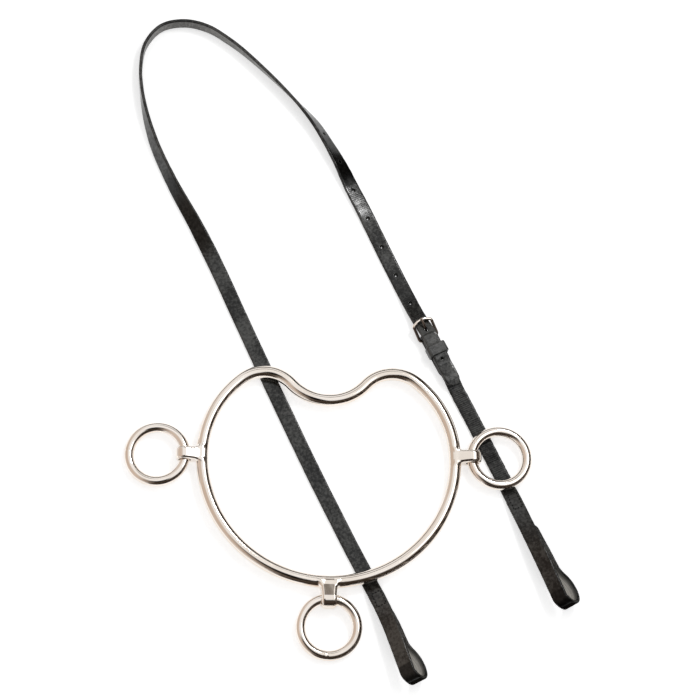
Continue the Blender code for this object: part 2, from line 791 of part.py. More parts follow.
def frame_path():
    """Outline of the frame's bar: straight heel and sides, arched far bar."""
    half = HALF_WIDTH + FRAME_SIDE_GAP + BAR_RADIUS
    corner = FRAME_CORNER
    chord = half - corner
    arch_radius = (chord**2 + FRAME_ARCH**2) / (2 * FRAME_ARCH)
    spread = math.degrees(math.asin(chord / arch_radius))
    path = [Vector((0, 0, 0))]
    path += arc(Vector((corner, half - corner, 0)), corner, 180, -90, 30)
    path += arc(Vector((FRAME_LENGTH - corner, half - corner, 0)), corner, 90, spread - 90, 25)
    arch_middle = Vector((FRAME_LENGTH + FRAME_ARCH - arch_radius, 0, 0))
    path += arc(arch_middle, arch_radius, spread, -spread, spread / 3)
    far = Vector((FRAME_LENGTH + FRAME_ARCH, 0, 0))
    mirrored = [Vector((p.x, -p.y, 0)) for p in reversed(path[1:])]
    return path + [far] + mirrored


def buckle_frame(parent):
    """Buckle's bar frame, its origin on the heel bar's middle line."""
    obj = tube("buckle_frame", frame_path(), UP, BAR_RADIUS, 10, STEEL, parent, True)
    obj.rotation_euler = (0, -frame_tilt(), 0)
    return obj


def tongue_path():
    """Tongue's middle line in the buckle's own axes, from its eye to past the far bar."""
    side = Vector((0, 1, 0))
    root = math.radians(TONGUE_ROOT_DEG)
    eye_middle = BAR_RADIUS + BAR_CLEARANCE + TONGUE_EYE_WALL / 2
    start = eye_middle * Vector((math.cos(root), 0, math.sin(root)))
    hole_x = TONGUE_HOLE_FROM_HEEL + TONGUE_AHEAD_IN_HOLE
    hole = Vector((hole_x, 0, long_height(-TONGUE_HOLE_FROM_HEEL) - HEEL_HEIGHT))
    tilt = frame_tilt()
    far = (FRAME_LENGTH + FRAME_ARCH) * Vector((math.cos(tilt), 0, math.sin(tilt)))
    over = far + (BAR_RADIUS + GAP + TONGUE_TIP_RADIUS) * UP
    crest = Vector((hole.x + TONGUE_CREST * (over.x - hole.x), 0, over.z))
    path = [start, (start + hole) / 2]
    for i in range(7):
        t = i / 6
        path.append((1 - t) ** 2 * hole + 2 * t * (1 - t) * crest + t * t * over)
    path.append(over + TONGUE_PAST_BAR * Vector((1, 0, 0)))
    return path, side


def buckle_tongue(parent):
    """Tongue, its eye round the heel bar and its shaft up through the strap's hole."""
    path, side = tongue_path()
    count = len(path)
    radii = [TONGUE_RADIUS] * count
    for i in range(3):
        radii[count - 1 - i] = TONGUE_TIP_RADIUS
    obj = tube("buckle_tongue", path, side, radii, 10, STEEL, parent)
    outer = BAR_RADIUS + BAR_CLEARANCE + TONGUE_EYE_WALL
    origin = Vector((0, 0, 0))
    barrel = cylinder("tongue_eye", origin, side, outer, TONGUE_EYE_WIDTH, 20, STEEL, parent)
    boolean(obj, barrel, "UNION")
    bore_radius = BAR_RADIUS + BAR_CLEARANCE
    bore = cylinder(
        "tongue_bore", origin, side, bore_radius, 2 * TONGUE_EYE_WIDTH, 16, STEEL, parent
    )
    boolean(obj, bore, "DIFFERENCE")
    return obj


def strap_keeper(parent):
    """Leather band round both straps just below the buckle."""
    half_wide = HALF_WIDTH + KEEPER_PLAY + KEEPER_THICKNESS / 2
    low = KEEPER_LAYER - HALF_THICK - GAP - KEEPER_THICKNESS / 2
    high = KEEPER_LAYER + LAYER + HALF_THICK + GAP + KEEPER_THICKNESS / 2
    centre = BUCKLE_PLAN + KEEPER_FROM_HEEL * BUCKLE_RUN + (low + high) / 2 * UP
    level = UP.cross(BUCKLE_RUN)
    half_high = (high - low) / 2
    corner = KEEPER_THICKNESS
    stations = []
    for side, top, start in ((1, -1, -90), (1, 1, 0), (-1, 1, 90), (-1, -1, 180)):
        middle = centre + side * (half_wide - corner) * level + top * (half_high - corner) * UP
        for turn in spaced(start, start + KEEPER_CORNER_DEG, KEEPER_STEP_DEG):
            angle = math.radians(turn)
            facing = math.cos(angle) * level + math.sin(angle) * UP
            stations.append((middle + corner * facing, BUCKLE_RUN, facing, 1.0, KEEPER_THICKNESS))
    return ribbon("strap_keeper", stations, LEATHER, parent, True, KEEPER_LENGTH)


def stud_patch(name, strap, parent):
    """Leather patch that holds the stud's plate behind the front layer."""
    stations = []
    for distance in spaced(PATCH_FROM_NECK, strap.patch_end, BEND_STEP):
        thickness = strap.patch_thickness(distance)
        depth = strap.patch_front(distance) + thickness / 2
        place, across, normal = strap.behind(distance, depth)
        stations.append((place, across, normal, 1.0, thickness))
    obj = ribbon(name, stations, PATCH_LEATHER, parent)
    hole = stud_hole(name + "_hole", strap, PLATE_START, PLATE_END + LAYER, parent)
    boolean(obj, hole, "DIFFERENCE")
    return obj


def hook_stud(name, strap, parent):
    """Stud whose head the turned-back end hooks over. Its origin is in the front layer."""
    dome = STUD_HEAD_THICKNESS * 0.4
    profile = (
        (STUD_PLATE_RADIUS, PLATE_START),
        (STUD_PLATE_RADIUS, PLATE_END),
        (STUD_POST_RADIUS, PLATE_END),
        (STUD_POST_RADIUS, HEAD_START),
        (STUD_HEAD_RADIUS, HEAD_START),
        (STUD_HEAD_RADIUS, HEAD_END - dome),
        (STUD_HEAD_RADIUS - dome, HEAD_END),
    )
    obj = turned(name, profile, 16, STEEL, parent)
    middle, _, _, normal = strap.frame(STUD_FROM_NECK)
    placed = axis_matrix(middle, -normal)
    obj.location = placed.to_translation()
    obj.rotation_euler = placed.to_euler()
    return obj


def stand_on_floor(tops, solids):
    """Moves the whole object so that the origin is at the middle of its bottom."""
    bpy.context.view_layer.update()
    graph = bpy.context.evaluated_depsgraph_get()
    corners = []
    for obj in solids:
        seen = obj.evaluated_get(graph)
        corners += [seen.matrix_world @ Vector(corner) for corner in seen.bound_box]
    corners = np.array(corners)
    low = corners.min(axis=0)
    high = corners.max(axis=0)
    shift = Vector(((low[0] + high[0]) / 2, (low[1] + high[1]) / 2, low[2]))
    for top in tops:
        top.location -= shift


def main():
    clear_scene()
    headstrap = empty("headstrap", (0, 0, 0))
    bit = empty("bit", (0, 0, 0))
    solids = [mouth_ring(bit)]
    for name, place in EYES.items():
        droop = droop_to_floor(place)
        if name == "right":
            droop = math.radians(RIGHT_RING_TILT_DEG)
        solids.append(loose_ring(name + "_ring", place, droop, bit))
    solids.append(point_strap(headstrap))
    solids.append(buckle_strap(headstrap))
    solids.append(strap_keeper(headstrap))
    place = buckle_matrix()
    pivot = empty("heel_bar", place.to_translation(), headstrap, place.to_euler().z)
    solids.append(buckle_frame(pivot))
    solids.append(buckle_tongue(pivot))
    for side, strap in (("left", LONG_STRAP), ("right", SHORT_STRAP)):
        solids.append(stud_patch(side + "_stud_patch", strap, headstrap))
        solids.append(hook_stud(side + "_hook_stud", strap, headstrap))
    stand_on_floor((headstrap, bit), solids)


main()
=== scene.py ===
"""Anti-rearing bit on its leather headstrap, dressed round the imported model.

Shapes are drawn in the part's own plan, about the centre of the mouth ring's large arc, and moved
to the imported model's frame as each piece is made. Lengths are in metres.
"""

import json
import math

import bmesh
import bpy
import numpy as np
from mathutils import Matrix, Vector, noise

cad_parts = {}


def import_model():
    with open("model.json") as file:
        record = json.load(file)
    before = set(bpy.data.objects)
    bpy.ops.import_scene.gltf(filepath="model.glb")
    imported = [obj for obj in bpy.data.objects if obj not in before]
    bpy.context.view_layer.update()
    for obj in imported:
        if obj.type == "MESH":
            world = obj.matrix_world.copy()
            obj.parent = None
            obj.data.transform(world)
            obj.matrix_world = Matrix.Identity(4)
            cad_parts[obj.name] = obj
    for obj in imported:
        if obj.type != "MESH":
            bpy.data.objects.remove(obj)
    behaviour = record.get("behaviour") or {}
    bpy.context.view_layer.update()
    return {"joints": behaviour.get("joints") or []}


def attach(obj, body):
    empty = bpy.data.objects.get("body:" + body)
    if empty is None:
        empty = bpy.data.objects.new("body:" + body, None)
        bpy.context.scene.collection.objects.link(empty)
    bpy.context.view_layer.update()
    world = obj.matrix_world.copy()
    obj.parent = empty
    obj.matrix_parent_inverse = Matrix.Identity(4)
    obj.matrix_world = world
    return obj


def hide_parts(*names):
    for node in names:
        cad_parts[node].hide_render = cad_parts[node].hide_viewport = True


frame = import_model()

MM = 0.001
CENTIMETRE = 10 * MM
EAST, NORTH, UP = Vector((1, 0, 0)), Vector((0, 1, 0)), Vector((0, 0, 1))

# Clearance that neighbouring solids keep
GAP = 0.3 * MM

# Mouth ring: round rod, its centreline in arcs from the large one round to the dip
ROD_RADIUS = 3.72 * MM
MOUTH_RADIUS = 73.5 * MM
MOUTH_RISE_DEG = 3.6
SHOULDER_RADIUS = 59.9 * MM
SHOULDER_DEG = 47.2
LOBE_RADIUS = 21.7 * MM
LOBE_DEG = 87.1

# Loose rings and the eyes that hold them
RING_RADIUS = 16.25 * MM
RING_WIRE_RADIUS = 3.0 * MM
EYE_CLEARANCE = 0.35 * MM
EYE_WALL = 2.3 * MM
EYE_WEB = 2.9 * MM
SIDE_EYE_LENGTH = 7.4 * MM
BOTTOM_EYE_LENGTH = 8.9 * MM
LEFT_EYE_Y = 1.2 * MM
RIGHT_EYE_Y = 1.8 * MM
BOTTOM_EYE_X = -0.4 * MM
RIGHT_RING_TILT_DEG = 1.5

# Strap leather
STRAP_WIDTH = 9.1 * MM
STRAP_THICKNESS = 2.0 * MM
SLOPE_STEP = 0.5 * MM

# Buckle: the heel bar's middle, the way that the strap runs there, and the frame
BUCKLE_X = 59.8 * MM
BUCKLE_Y = 76.2 * MM
BUCKLE_HEADING_DEG = -63.0
BAR_RADIUS = 0.9 * MM
BAR_CLEARANCE = 0.25 * MM
FRAME_LENGTH = 10.7 * MM
FRAME_ARCH = 1.2 * MM
FRAME_SIDE_GAP = 0.4 * MM
FRAME_CORNER = 1.6 * MM
TONGUE_EYE_WALL = 1.0 * MM
TONGUE_EYE_WIDTH = 2.3 * MM
TONGUE_EYE_SIDE_GAP = 0.35 * MM
TONGUE_RADIUS = 0.7 * MM
TONGUE_TIP_RADIUS = 0.6 * MM
TONGUE_PAST_BAR = 0.9 * MM
TONGUE_AHEAD_IN_HOLE = 0.3 * MM
TONGUE_ROOT_DEG = 25
TONGUE_WRAP_DEG = 335
TONGUE_CREST = 0.3
SLOT_BEHIND_HEEL = 4.0 * MM
STRAIGHT_AHEAD = 14.0 * MM
STRAIGHT_BEHIND = 40.0 * MM

# Keeper band and the layers round the buckle, as distances from the heel bar
KEEPER_FROM_HEEL = 9.4 * MM
KEEPER_LENGTH = 6.5 * MM
KEEPER_THICKNESS = 1.2 * MM
KEEPER_PLAY = 0.4 * MM
CHAPE_LENGTH = 25.5 * MM
CHAPE_RAMP = 6.5 * MM
CHAPE_FALL = 11.0 * MM
TAIL_LENGTH = 33.0 * MM
FALL_START = 1.0 * MM
FALL_LENGTH = 45.0 * MM
FALL_POWER = 2.3

# Adjusting holes, from the one that the tongue is in, which use has stretched
HOLE_RADIUS = 1.2 * MM
TONGUE_HOLE_RADIUS = 1.6 * MM
HOLE_PITCH = 19.85 * MM
HOLES_ABOVE = 8
HOLES_BELOW = 1
TONGUE_HOLE_FROM_HEEL = 4.5 * MM

# End loops of the headstrap, in the plane across the strap
LOOP_FRONT_RUN = 17.4 * MM
LOOP_TIP_RADIUS = 5.2 * MM
LOOP_BACK_RADIUS = 16.0 * MM
LOOP_NECK_RADIUS = 8.0 * MM
LOOP_SINK = 1.5 * MM
LOOP_SKEW = 2.6 * MM
TURNBACK_END_THICKNESS = 1.2 * MM

# Hook stud that closes each end loop, and the patch that holds it
STUD_FROM_NECK = 9.5 * MM
STUD_PLATE_RADIUS = 3.2 * MM
STUD_PLATE_THICKNESS = 0.6 * MM
STUD_POST_RADIUS = 1.5 * MM
STUD_HEAD_RADIUS = 3.0 * MM
STUD_HEAD_THICKNESS = 1.2 * MM
PATCH_THICKNESS = 1.3 * MM
PATCH_END_THICKNESS = 0.5 * MM
PATCH_FROM_NECK = 2.0 * MM
PATCH_STEP_LENGTH = 4.0 * MM
SKIVE_LENGTH = 12.0 * MM

# Ends of the straps: the roll at the neck in degrees, how far up each is lifted, patched and
# turned back, and how far the turned-back layer is shifted to its side
LIFT_BOW = 0.15
ROLL_POWER = 0.9
LEFT_END = (30.0, 38.5 * MM, 34.0 * MM, 24.0 * MM, 0.1 * MM)
RIGHT_END = (33.0, 54.0 * MM, 48.0 * MM, 31.0 * MM, 0.9 * MM)

# Plan of the long strap in mm from the left end's neck to the buckle, with its roll in degrees:
# it lies flat up the left leg, turns onto its edge round the top and flattens again.
LONG_ROUTE = (
    (38.1, -110.5, 0), (34.2, -98.5, 0), (29.1, -85.2, 0), (10.5, -47.2, 0),
    (-8.2, -8.8, 0), (-26.4, 30.4, 0), (-41.6, 63.7, 0), (-53.7, 90.7, 0),
    (-65.9, 118.0, 5), (-79.3, 144.8, 36), (-93.6, 171.2, 56), (-105.8, 199.3, 67),
    (-112.9, 229.8, 88), (-114.0, 245.9, 90), (-111.3, 261.8, 90), (-101.7, 273.7, 90),
    (-87.4, 277.1, 90), (-73.2, 273.9, 90), (-60.6, 266.1, 88), (-37.8, 246.2, 79),
    (-16.9, 224.1, 69), (-7.3, 212.4, 54), (0.6, 199.5, 45), (7.8, 186.3, 31),
    (14.2, 172.6, 10), (19.7, 161.4, 0), (36.5, 125.0, 0), (46.3, 104.1, 0),
)

# Plan of the short strap in mm, from the right end's neck to below the buckle
SHORT_ROUTE = (
    (125.2, -66.6, 0), (114.1, -38.4, 0), (106.0, -18.1, 0), (95.2, 4.9, 0),
)

# The plan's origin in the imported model, from its joints
JOINTS = {joint["name"]: joint for joint in frame["joints"]}
LEFT_EYE = JOINTS["left_ring_swing"]["pos_m"]
RIGHT_EYE = JOINTS["right_ring_swing"]["pos_m"]
ORIGIN = Vector(((LEFT_EYE[0] + RIGHT_EYE[0]) / 2, LEFT_EYE[1] - LEFT_EYE_Y, 0))

# Fineness of the routes and of the shown meshes
PLAN_POINTS = 1500
NET_STEP = 0.4 * MM
STATION_STEP = 1.0 * MM
BEND_STATION_STEP = 0.5 * MM
BAR_STEP = 0.8 * MM
CORNER_STEP_DEG = 9
CHAPE_TURN = math.radians(7.5)
WIRE_SIDES = 40
RING_STEPS = 180
BAR_SIDES = 24
TONGUE_SIDES = 20
STUD_SIDES = 48
DOME_STEPS = 12

# Rounding of the cast lugs, and how far each one widens towards the rod
LUG_FILLET = 1.9 * MM
LUG_TOP_FILLET = 0.9 * MM
LUG_FILLET_FADE = 2.0 * MM
LUG_FLARE = 1.0 * MM
LUG_FLARE_POWER = 2.4
LUG_CORNER = 2.4 * MM
LUG_EDGE = 2.1 * MM
LUG_ROOT_INSET = 0.35 * MM
BORE_EDGE = 0.7 * MM

# Net over the mouth ring's field: room round it, the reach for slopes, how often its points are
# pulled onto the surface, the least squared slope for that, and a distance beyond all others
NET_ROOM = 2.0 * MM
SLOPE_REACH = 0.002 * MM
NET_PULLS = 8
LEAST_STEEPNESS = 0.05
FAR = 9.0

# Welds of the loose rings: angles in degrees, and the height and half width of bead and nick
WELDS = {"left": 8.0, "right": 150.0, "bottom": -4.0}
WELD_BEAD = (0.10 * MM, 1.3 * MM)
WELD_NICK = (-0.22 * MM, 0.45 * MM)

# Buckle frame: rounds that find how far it leans, and how much of the corners at its far bar is
# as bright as that bar; the rest of the frame is painted shade, a darker copy of the nickel
TILT_ROUNDS = 12
BRIGHT_CORNER = 0.8

# Hook studs: rounding of their edges, radius of the flats in their middle, shape of the dome
STUD_EDGE = 0.15 * MM
STUD_MIDDLE = 0.05 * MM
DOME_POWER = 0.6

# Leather's edges: their rounding, the share of it that counts as edge, the most that it takes
# of a thin or narrow layer, and how uneven they are over which lengths
EDGE_RADIUS = 0.75 * MM
EDGE_STEPS = 5
FLAT_STEPS = 10
EDGE_SHARE = 0.35
MOST_OF_HEIGHT, MOST_OF_WIDTH = 0.92, 0.9
EDGE_WANDER, WANDER_LENGTH = 0.09 * MM, 3.1 * MM
EDGE_FLUTTER, FLUTTER_LENGTH = 0.05 * MM, 0.9 * MM
RIBBED_FLUTTER = 0.22 * MM
LEAST_TIP_SHARE = 0.04

# Thread. STITCH_REST is the share of a stitch's pitch, at each end, where it is out of sight,
# and STITCH_RISE its bow over its radius.
STITCH_PITCH = 2.1 * MM
STITCH_RADIUS = 0.3 * MM
STITCH_INSET_LEFT = 2.2 * MM
STITCH_INSET_RIGHT = 1.4 * MM
STITCH_REST = 0.12
STITCH_RISE = 1.1
STITCH_STEPS = 6
STITCH_SIDES = 8

# Slight twist of the long strap beyond the solid's, where it settles flat below its bend
TWIST = math.radians(6.0)
TWIST_PLACE = 600.0 * MM
TWIST_REACH = 9.0 * MM

# Punched holes: grid columns that each takes up, room round it, how far its rims open, how much
# smaller it is at the face, and the share of its width at the back. The worn one that the tongue
# is in is narrower across the strap than along it.
HOLE_COLUMNS = 6
HOLE_MARGIN = 1.0 * MM
HOLE_FLARE = 0.25 * MM
HOLE_CLOSING = 0.15 * MM
TAIL_HOLE_CLOSING = 0.5 * MM
HOLE_PINCH = 0.3
WORN_PINCH = 0.88
WORN_SQUEEZE = 0.62


def turned(angle, first, second):
    """The direction that lies angle from first towards second."""
    return math.cos(angle) * first + math.sin(angle) * second


def sagitta(length):
    return RING_RADIUS - math.sqrt(RING_RADIUS**2 - (length / 2) ** 2)


def eye_bore(length):
    return RING_WIRE_RADIUS + sagitta(length) / 2 + EYE_CLEARANCE


def eye_reach(length):
    return ROD_RADIUS + EYE_WEB + eye_bore(length)


HALF_WIDTH = STRAP_WIDTH / 2
HALF_THICK = STRAP_THICKNESS / 2
ROD_HEIGHT = STRAP_THICKNESS + GAP + ROD_RADIUS
BUCKLE_ANGLE = math.radians(BUCKLE_HEADING_DEG)
BUCKLE_RUN = turned(BUCKLE_ANGLE, EAST, NORTH)
BUCKLE_LEVEL = UP.cross(BUCKLE_RUN)
BUCKLE_PLAN = Vector((BUCKLE_X, BUCKLE_Y, 0))
CHAPE_RADIUS = BAR_RADIUS + BAR_CLEARANCE + HALF_THICK
HEEL_HEIGHT = HALF_THICK + CHAPE_RADIUS
CHAPE_TOP = HEEL_HEIGHT + CHAPE_RADIUS
LAYER = STRAP_THICKNESS + GAP
KEEPER_LAYER = HALF_THICK + LAYER + GAP + KEEPER_THICKNESS
PLATE_START = HALF_THICK + GAP
PLATE_END = PLATE_START + STUD_PLATE_THICKNESS
TURNBACK_DEPTH = PLATE_END + GAP + PATCH_THICKNESS + GAP + HALF_THICK
HEAD_START = TURNBACK_DEPTH + HALF_THICK + GAP
HEAD_END = HEAD_START + STUD_HEAD_THICKNESS
SIDE_EYE_X = MOUTH_RADIUS + eye_reach(SIDE_EYE_LENGTH)
BOTTOM_EYE_Y = -MOUTH_RADIUS - eye_reach(BOTTOM_EYE_LENGTH)

# Each eye's middle, the ways out from the rod and along its bore, and its length
EYES = {
    "left": (Vector((-SIDE_EYE_X, LEFT_EYE_Y, ROD_HEIGHT)), -EAST, NORTH, SIDE_EYE_LENGTH),
    "right": (Vector((SIDE_EYE_X, RIGHT_EYE_Y, ROD_HEIGHT)), EAST, NORTH, SIDE_EYE_LENGTH),
    "bottom": (Vector((BOTTOM_EYE_X, BOTTOM_EYE_Y, ROD_HEIGHT)), -NORTH, EAST, BOTTOM_EYE_LENGTH),
}


# The strap's route, as in the part's source


def smooth_plan(keys):
    keys = np.array(keys, float) * (MM, MM, 1)
    along = np.concatenate([[0], np.cumsum(np.hypot(*np.diff(keys[:, :2], axis=0).T))])
    slope = np.gradient(keys[:, :2], along, axis=0)
    fine = np.linspace(0, along[-1], PLAN_POINTS)
    index = np.clip(np.searchsorted(along, fine, side="right") - 1, 0, len(along) - 2)
    span = (along[index + 1] - along[index])[:, None]
    part = (fine - along[index])[:, None] / span
    plan = (
        (1 + 2 * part) * (1 - part) ** 2 * keys[index, :2]
        + part * (1 - part) ** 2 * span * slope[index]
        + part**2 * (3 - 2 * part) * keys[index + 1, :2]
        + part**2 * (part - 1) * span * slope[index + 1]
    )
    distance = np.concatenate([[0], np.cumsum(np.hypot(*np.diff(plan, axis=0).T))])
    return plan, np.interp(fine, along, keys[:, 2]), distance


def clamped(value):
    return min(1.0, max(0.0, value))


def ease(value):
    value = clamped(value)
    return value * value * (3 - 2 * value)


def short_height(behind):
    keeper_start = KEEPER_FROM_HEEL - KEEPER_LENGTH / 2
    keeper_end = KEEPER_FROM_HEEL + KEEPER_LENGTH / 2
    height = CHAPE_TOP
    height -= (CHAPE_TOP - KEEPER_LAYER) * ease(behind / keeper_start)
    height -= (KEEPER_LAYER - HALF_THICK - LAYER) * ease((behind - keeper_end) / CHAPE_RAMP)
    height -= LAYER * ease((behind - CHAPE_LENGTH - GAP) / CHAPE_FALL)
    return height


def long_height(behind):
    if behind > 0:
        return short_height(behind) + LAYER
    share = clamped(1 + (behind + FALL_START) / FALL_LENGTH)
    return HALF_THICK + (CHAPE_TOP + LAYER - HALF_THICK) * share**FALL_POWER


def loop_arcs():
    neck = Vector((0, TURNBACK_DEPTH + LOOP_NECK_RADIUS))
    tip = Vector((LOOP_FRONT_RUN, LOOP_TIP_RADIUS))
    apart = (tip - neck).length
    to_tip = (tip - neck).normalized()
    from_neck = LOOP_BACK_RADIUS + LOOP_NECK_RADIUS
    from_tip = LOOP_BACK_RADIUS - LOOP_TIP_RADIUS
    reach = (from_neck**2 - from_tip**2 + apart**2) / (2 * apart)
    aside = math.sqrt(from_neck**2 - reach**2)
    back = neck + reach * to_tip + aside * Vector((to_tip.y, -to_tip.x))
    start = math.atan2(back.x - neck.x, neck.y - back.y)
    meet = -math.atan2(tip.x - back.x, tip.y - back.y)
    return (
        (neck, -LOOP_NECK_RADIUS, 0.0, start),
        (back, LOOP_BACK_RADIUS, start, meet),
        (tip, LOOP_TIP_RADIUS, meet, -math.pi),
    )


def loop_depth():
    centre, radius, _, _ = loop_arcs()[1]
    return centre.y + radius


def loop_length():
    return sum(abs((end - start) * radius) for _, radius, start, end in loop_arcs())


def spaced(start, end, step):
    count = max(1, round(abs(end - start) / step))
    return [start + (end - start) * i / count for i in range(count + 1)]


def tip_share(from_tip):
    inside = clamped(from_tip / HALF_WIDTH)
    return max(LEAST_TIP_SHARE, math.sqrt(1 - (1 - inside) ** 2))


def skived(thickness, end_thickness, to_end):
    """Thickness of a layer that is pared thin towards its end."""
    return thickness - (thickness - end_thickness) * ease(1 - to_end / SKIVE_LENGTH)


class Strap:
    """Route of a strap's front layer, by the distance from its end loop's neck.

    A station is (middle, width direction, normal, share of width, thickness, distance).
    """

    def __init__(self, keys, end, height_at_buckle, sense):
        self.plan, self.roll, self.distance = smooth_plan(keys)
        roll_deg, self.lift, self.patch_end, self.turnback, self.shift = end
        self.neck_roll = math.radians(roll_deg)
        self.height_at_buckle = height_at_buckle
        self.sense = sense
        from_heel = np.hypot(self.plan[:, 0] - BUCKLE_X, self.plan[:, 1] - BUCKLE_Y)
        self.heel = float(self.distance[int(np.argmin(from_heel))])
        self.length = float(self.distance[-1])

    def height_and_roll(self, distance):
        share = max(0.0, 1 - distance / self.lift)
        if share > 0:
            roll = self.neck_roll * share**ROLL_POWER
            depth = loop_depth() - LOOP_SINK
            stack = HALF_THICK + depth * share * (1 + LIFT_BOW * (1 - share))
            return stack * math.cos(roll) + HALF_WIDTH * math.sin(roll), roll
        roll = math.radians(float(np.interp(distance, self.distance, self.roll)))
        if self.sense > 0:
            roll += TWIST * math.exp(-(((distance - TWIST_PLACE) / TWIST_REACH) ** 2))
        height = HALF_WIDTH * math.sin(roll) + HALF_THICK * math.cos(roll)
        return max(height, self.height_at_buckle(self.sense * (distance - self.heel))), roll

    def middle(self, distance):
        x = np.interp(distance, self.distance, self.plan[:, 0])
        y = np.interp(distance, self.distance, self.plan[:, 1])
        return Vector((x, y, self.height_and_roll(distance)[0]))

    def frame(self, distance):
        low = max(0.0, distance - SLOPE_STEP)
        high = min(self.length, distance + SLOPE_STEP)
        way = (self.middle(low) - self.middle(high)).normalized()
        level = UP.cross(way).normalized()
        rise = way.cross(level)
        roll = self.height_and_roll(distance)[1]
        return self.middle(distance), way, turned(roll, level, rise), turned(roll, rise, -level)

    def behind(self, distance, depth):
        middle, _, across, normal = self.frame(distance)
        return middle - depth * normal, across, normal

    def patch_front(self, distance):
        past_plate = distance - STUD_FROM_NECK - STUD_PLATE_RADIUS - GAP
        over_plate = 1 - ease(past_plate / PATCH_STEP_LENGTH)
        return PLATE_START + (STUD_PLATE_THICKNESS + GAP) * over_plate

    def patch_thickness(self, distance):
        return skived(PATCH_THICKNESS, PATCH_END_THICKNESS, self.patch_end - distance)

    def end_loop(self):
        """Stations from the turned-back end, round the loop, to just before the neck."""
        stations = []
        length = loop_length()
        for distance in spaced(self.turnback, 0, STATION_STEP)[:-1]:
            to_end = self.turnback - distance
            thickness = skived(STRAP_THICKNESS, TURNBACK_END_THICKNESS, to_end)
            depth = self.patch_front(distance) + self.patch_thickness(distance)
            place, across, normal = self.behind(distance, depth + GAP + thickness / 2)
            place += across * self.shift
            mark = -LOOP_FRONT_RUN - length - distance
            stations.append((place, across, -normal, tip_share(to_end), thickness, mark))
        middle, way, across, normal = self.frame(0)
        passed = 0.0
        for centre, radius, start, end in loop_arcs():
            for angle in spaced(start, end, BEND_STATION_STEP / abs(radius))[:-1]:
                outward = Vector((-math.sin(angle), math.cos(angle)))
                spot = centre + radius * outward
                here = passed + abs((angle - start) * radius)
                done = here / length
                aside = self.shift * (1 - done) + LOOP_SKEW * math.sin(math.pi * done)
                place = middle + spot.x * way - spot.y * normal + aside * across
                facing = outward.x * way - outward.y * normal
                mark = -LOOP_FRONT_RUN - length + here
                stations.append((place, across, facing, 1.0, STRAP_THICKNESS, mark))
            passed += abs((end - start) * radius)
        for u in spaced(LOOP_FRONT_RUN, 0, STATION_STEP)[:-1]:
            stations.append((middle + u * way, across, normal, 1.0, STRAP_THICKNESS, -u))
        return stations

    def leg(self, start, end, tip=False):
        """Stations of the front layer, with a rounded tip at the end if asked for."""
        stations = []
        for distance in spaced(start, end, BEND_STATION_STEP if tip else STATION_STEP):
            middle, _, across, normal = self.frame(distance)
            share = tip_share(end - distance) if tip else 1.0
            stations.append((middle, across, normal, share, STRAP_THICKNESS, distance))
        return stations


def keys_at_buckle(*distances):
    places = [(BUCKLE_PLAN + distance * BUCKLE_RUN) / MM for distance in distances]
    return tuple((place.x, place.y, 0) for place in places)


LONG_ROUTE += keys_at_buckle(-STRAIGHT_AHEAD, 0, TAIL_LENGTH)
SHORT_ROUTE += keys_at_buckle(STRAIGHT_BEHIND, 0)
LONG_STRAP = Strap(LONG_ROUTE, LEFT_END, long_height, 1)
SHORT_STRAP = Strap(SHORT_ROUTE, RIGHT_END, short_height, -1)


# Materials


def opaque(colour, factor=1.0):
    return (*[factor * channel for channel in colour], 1)


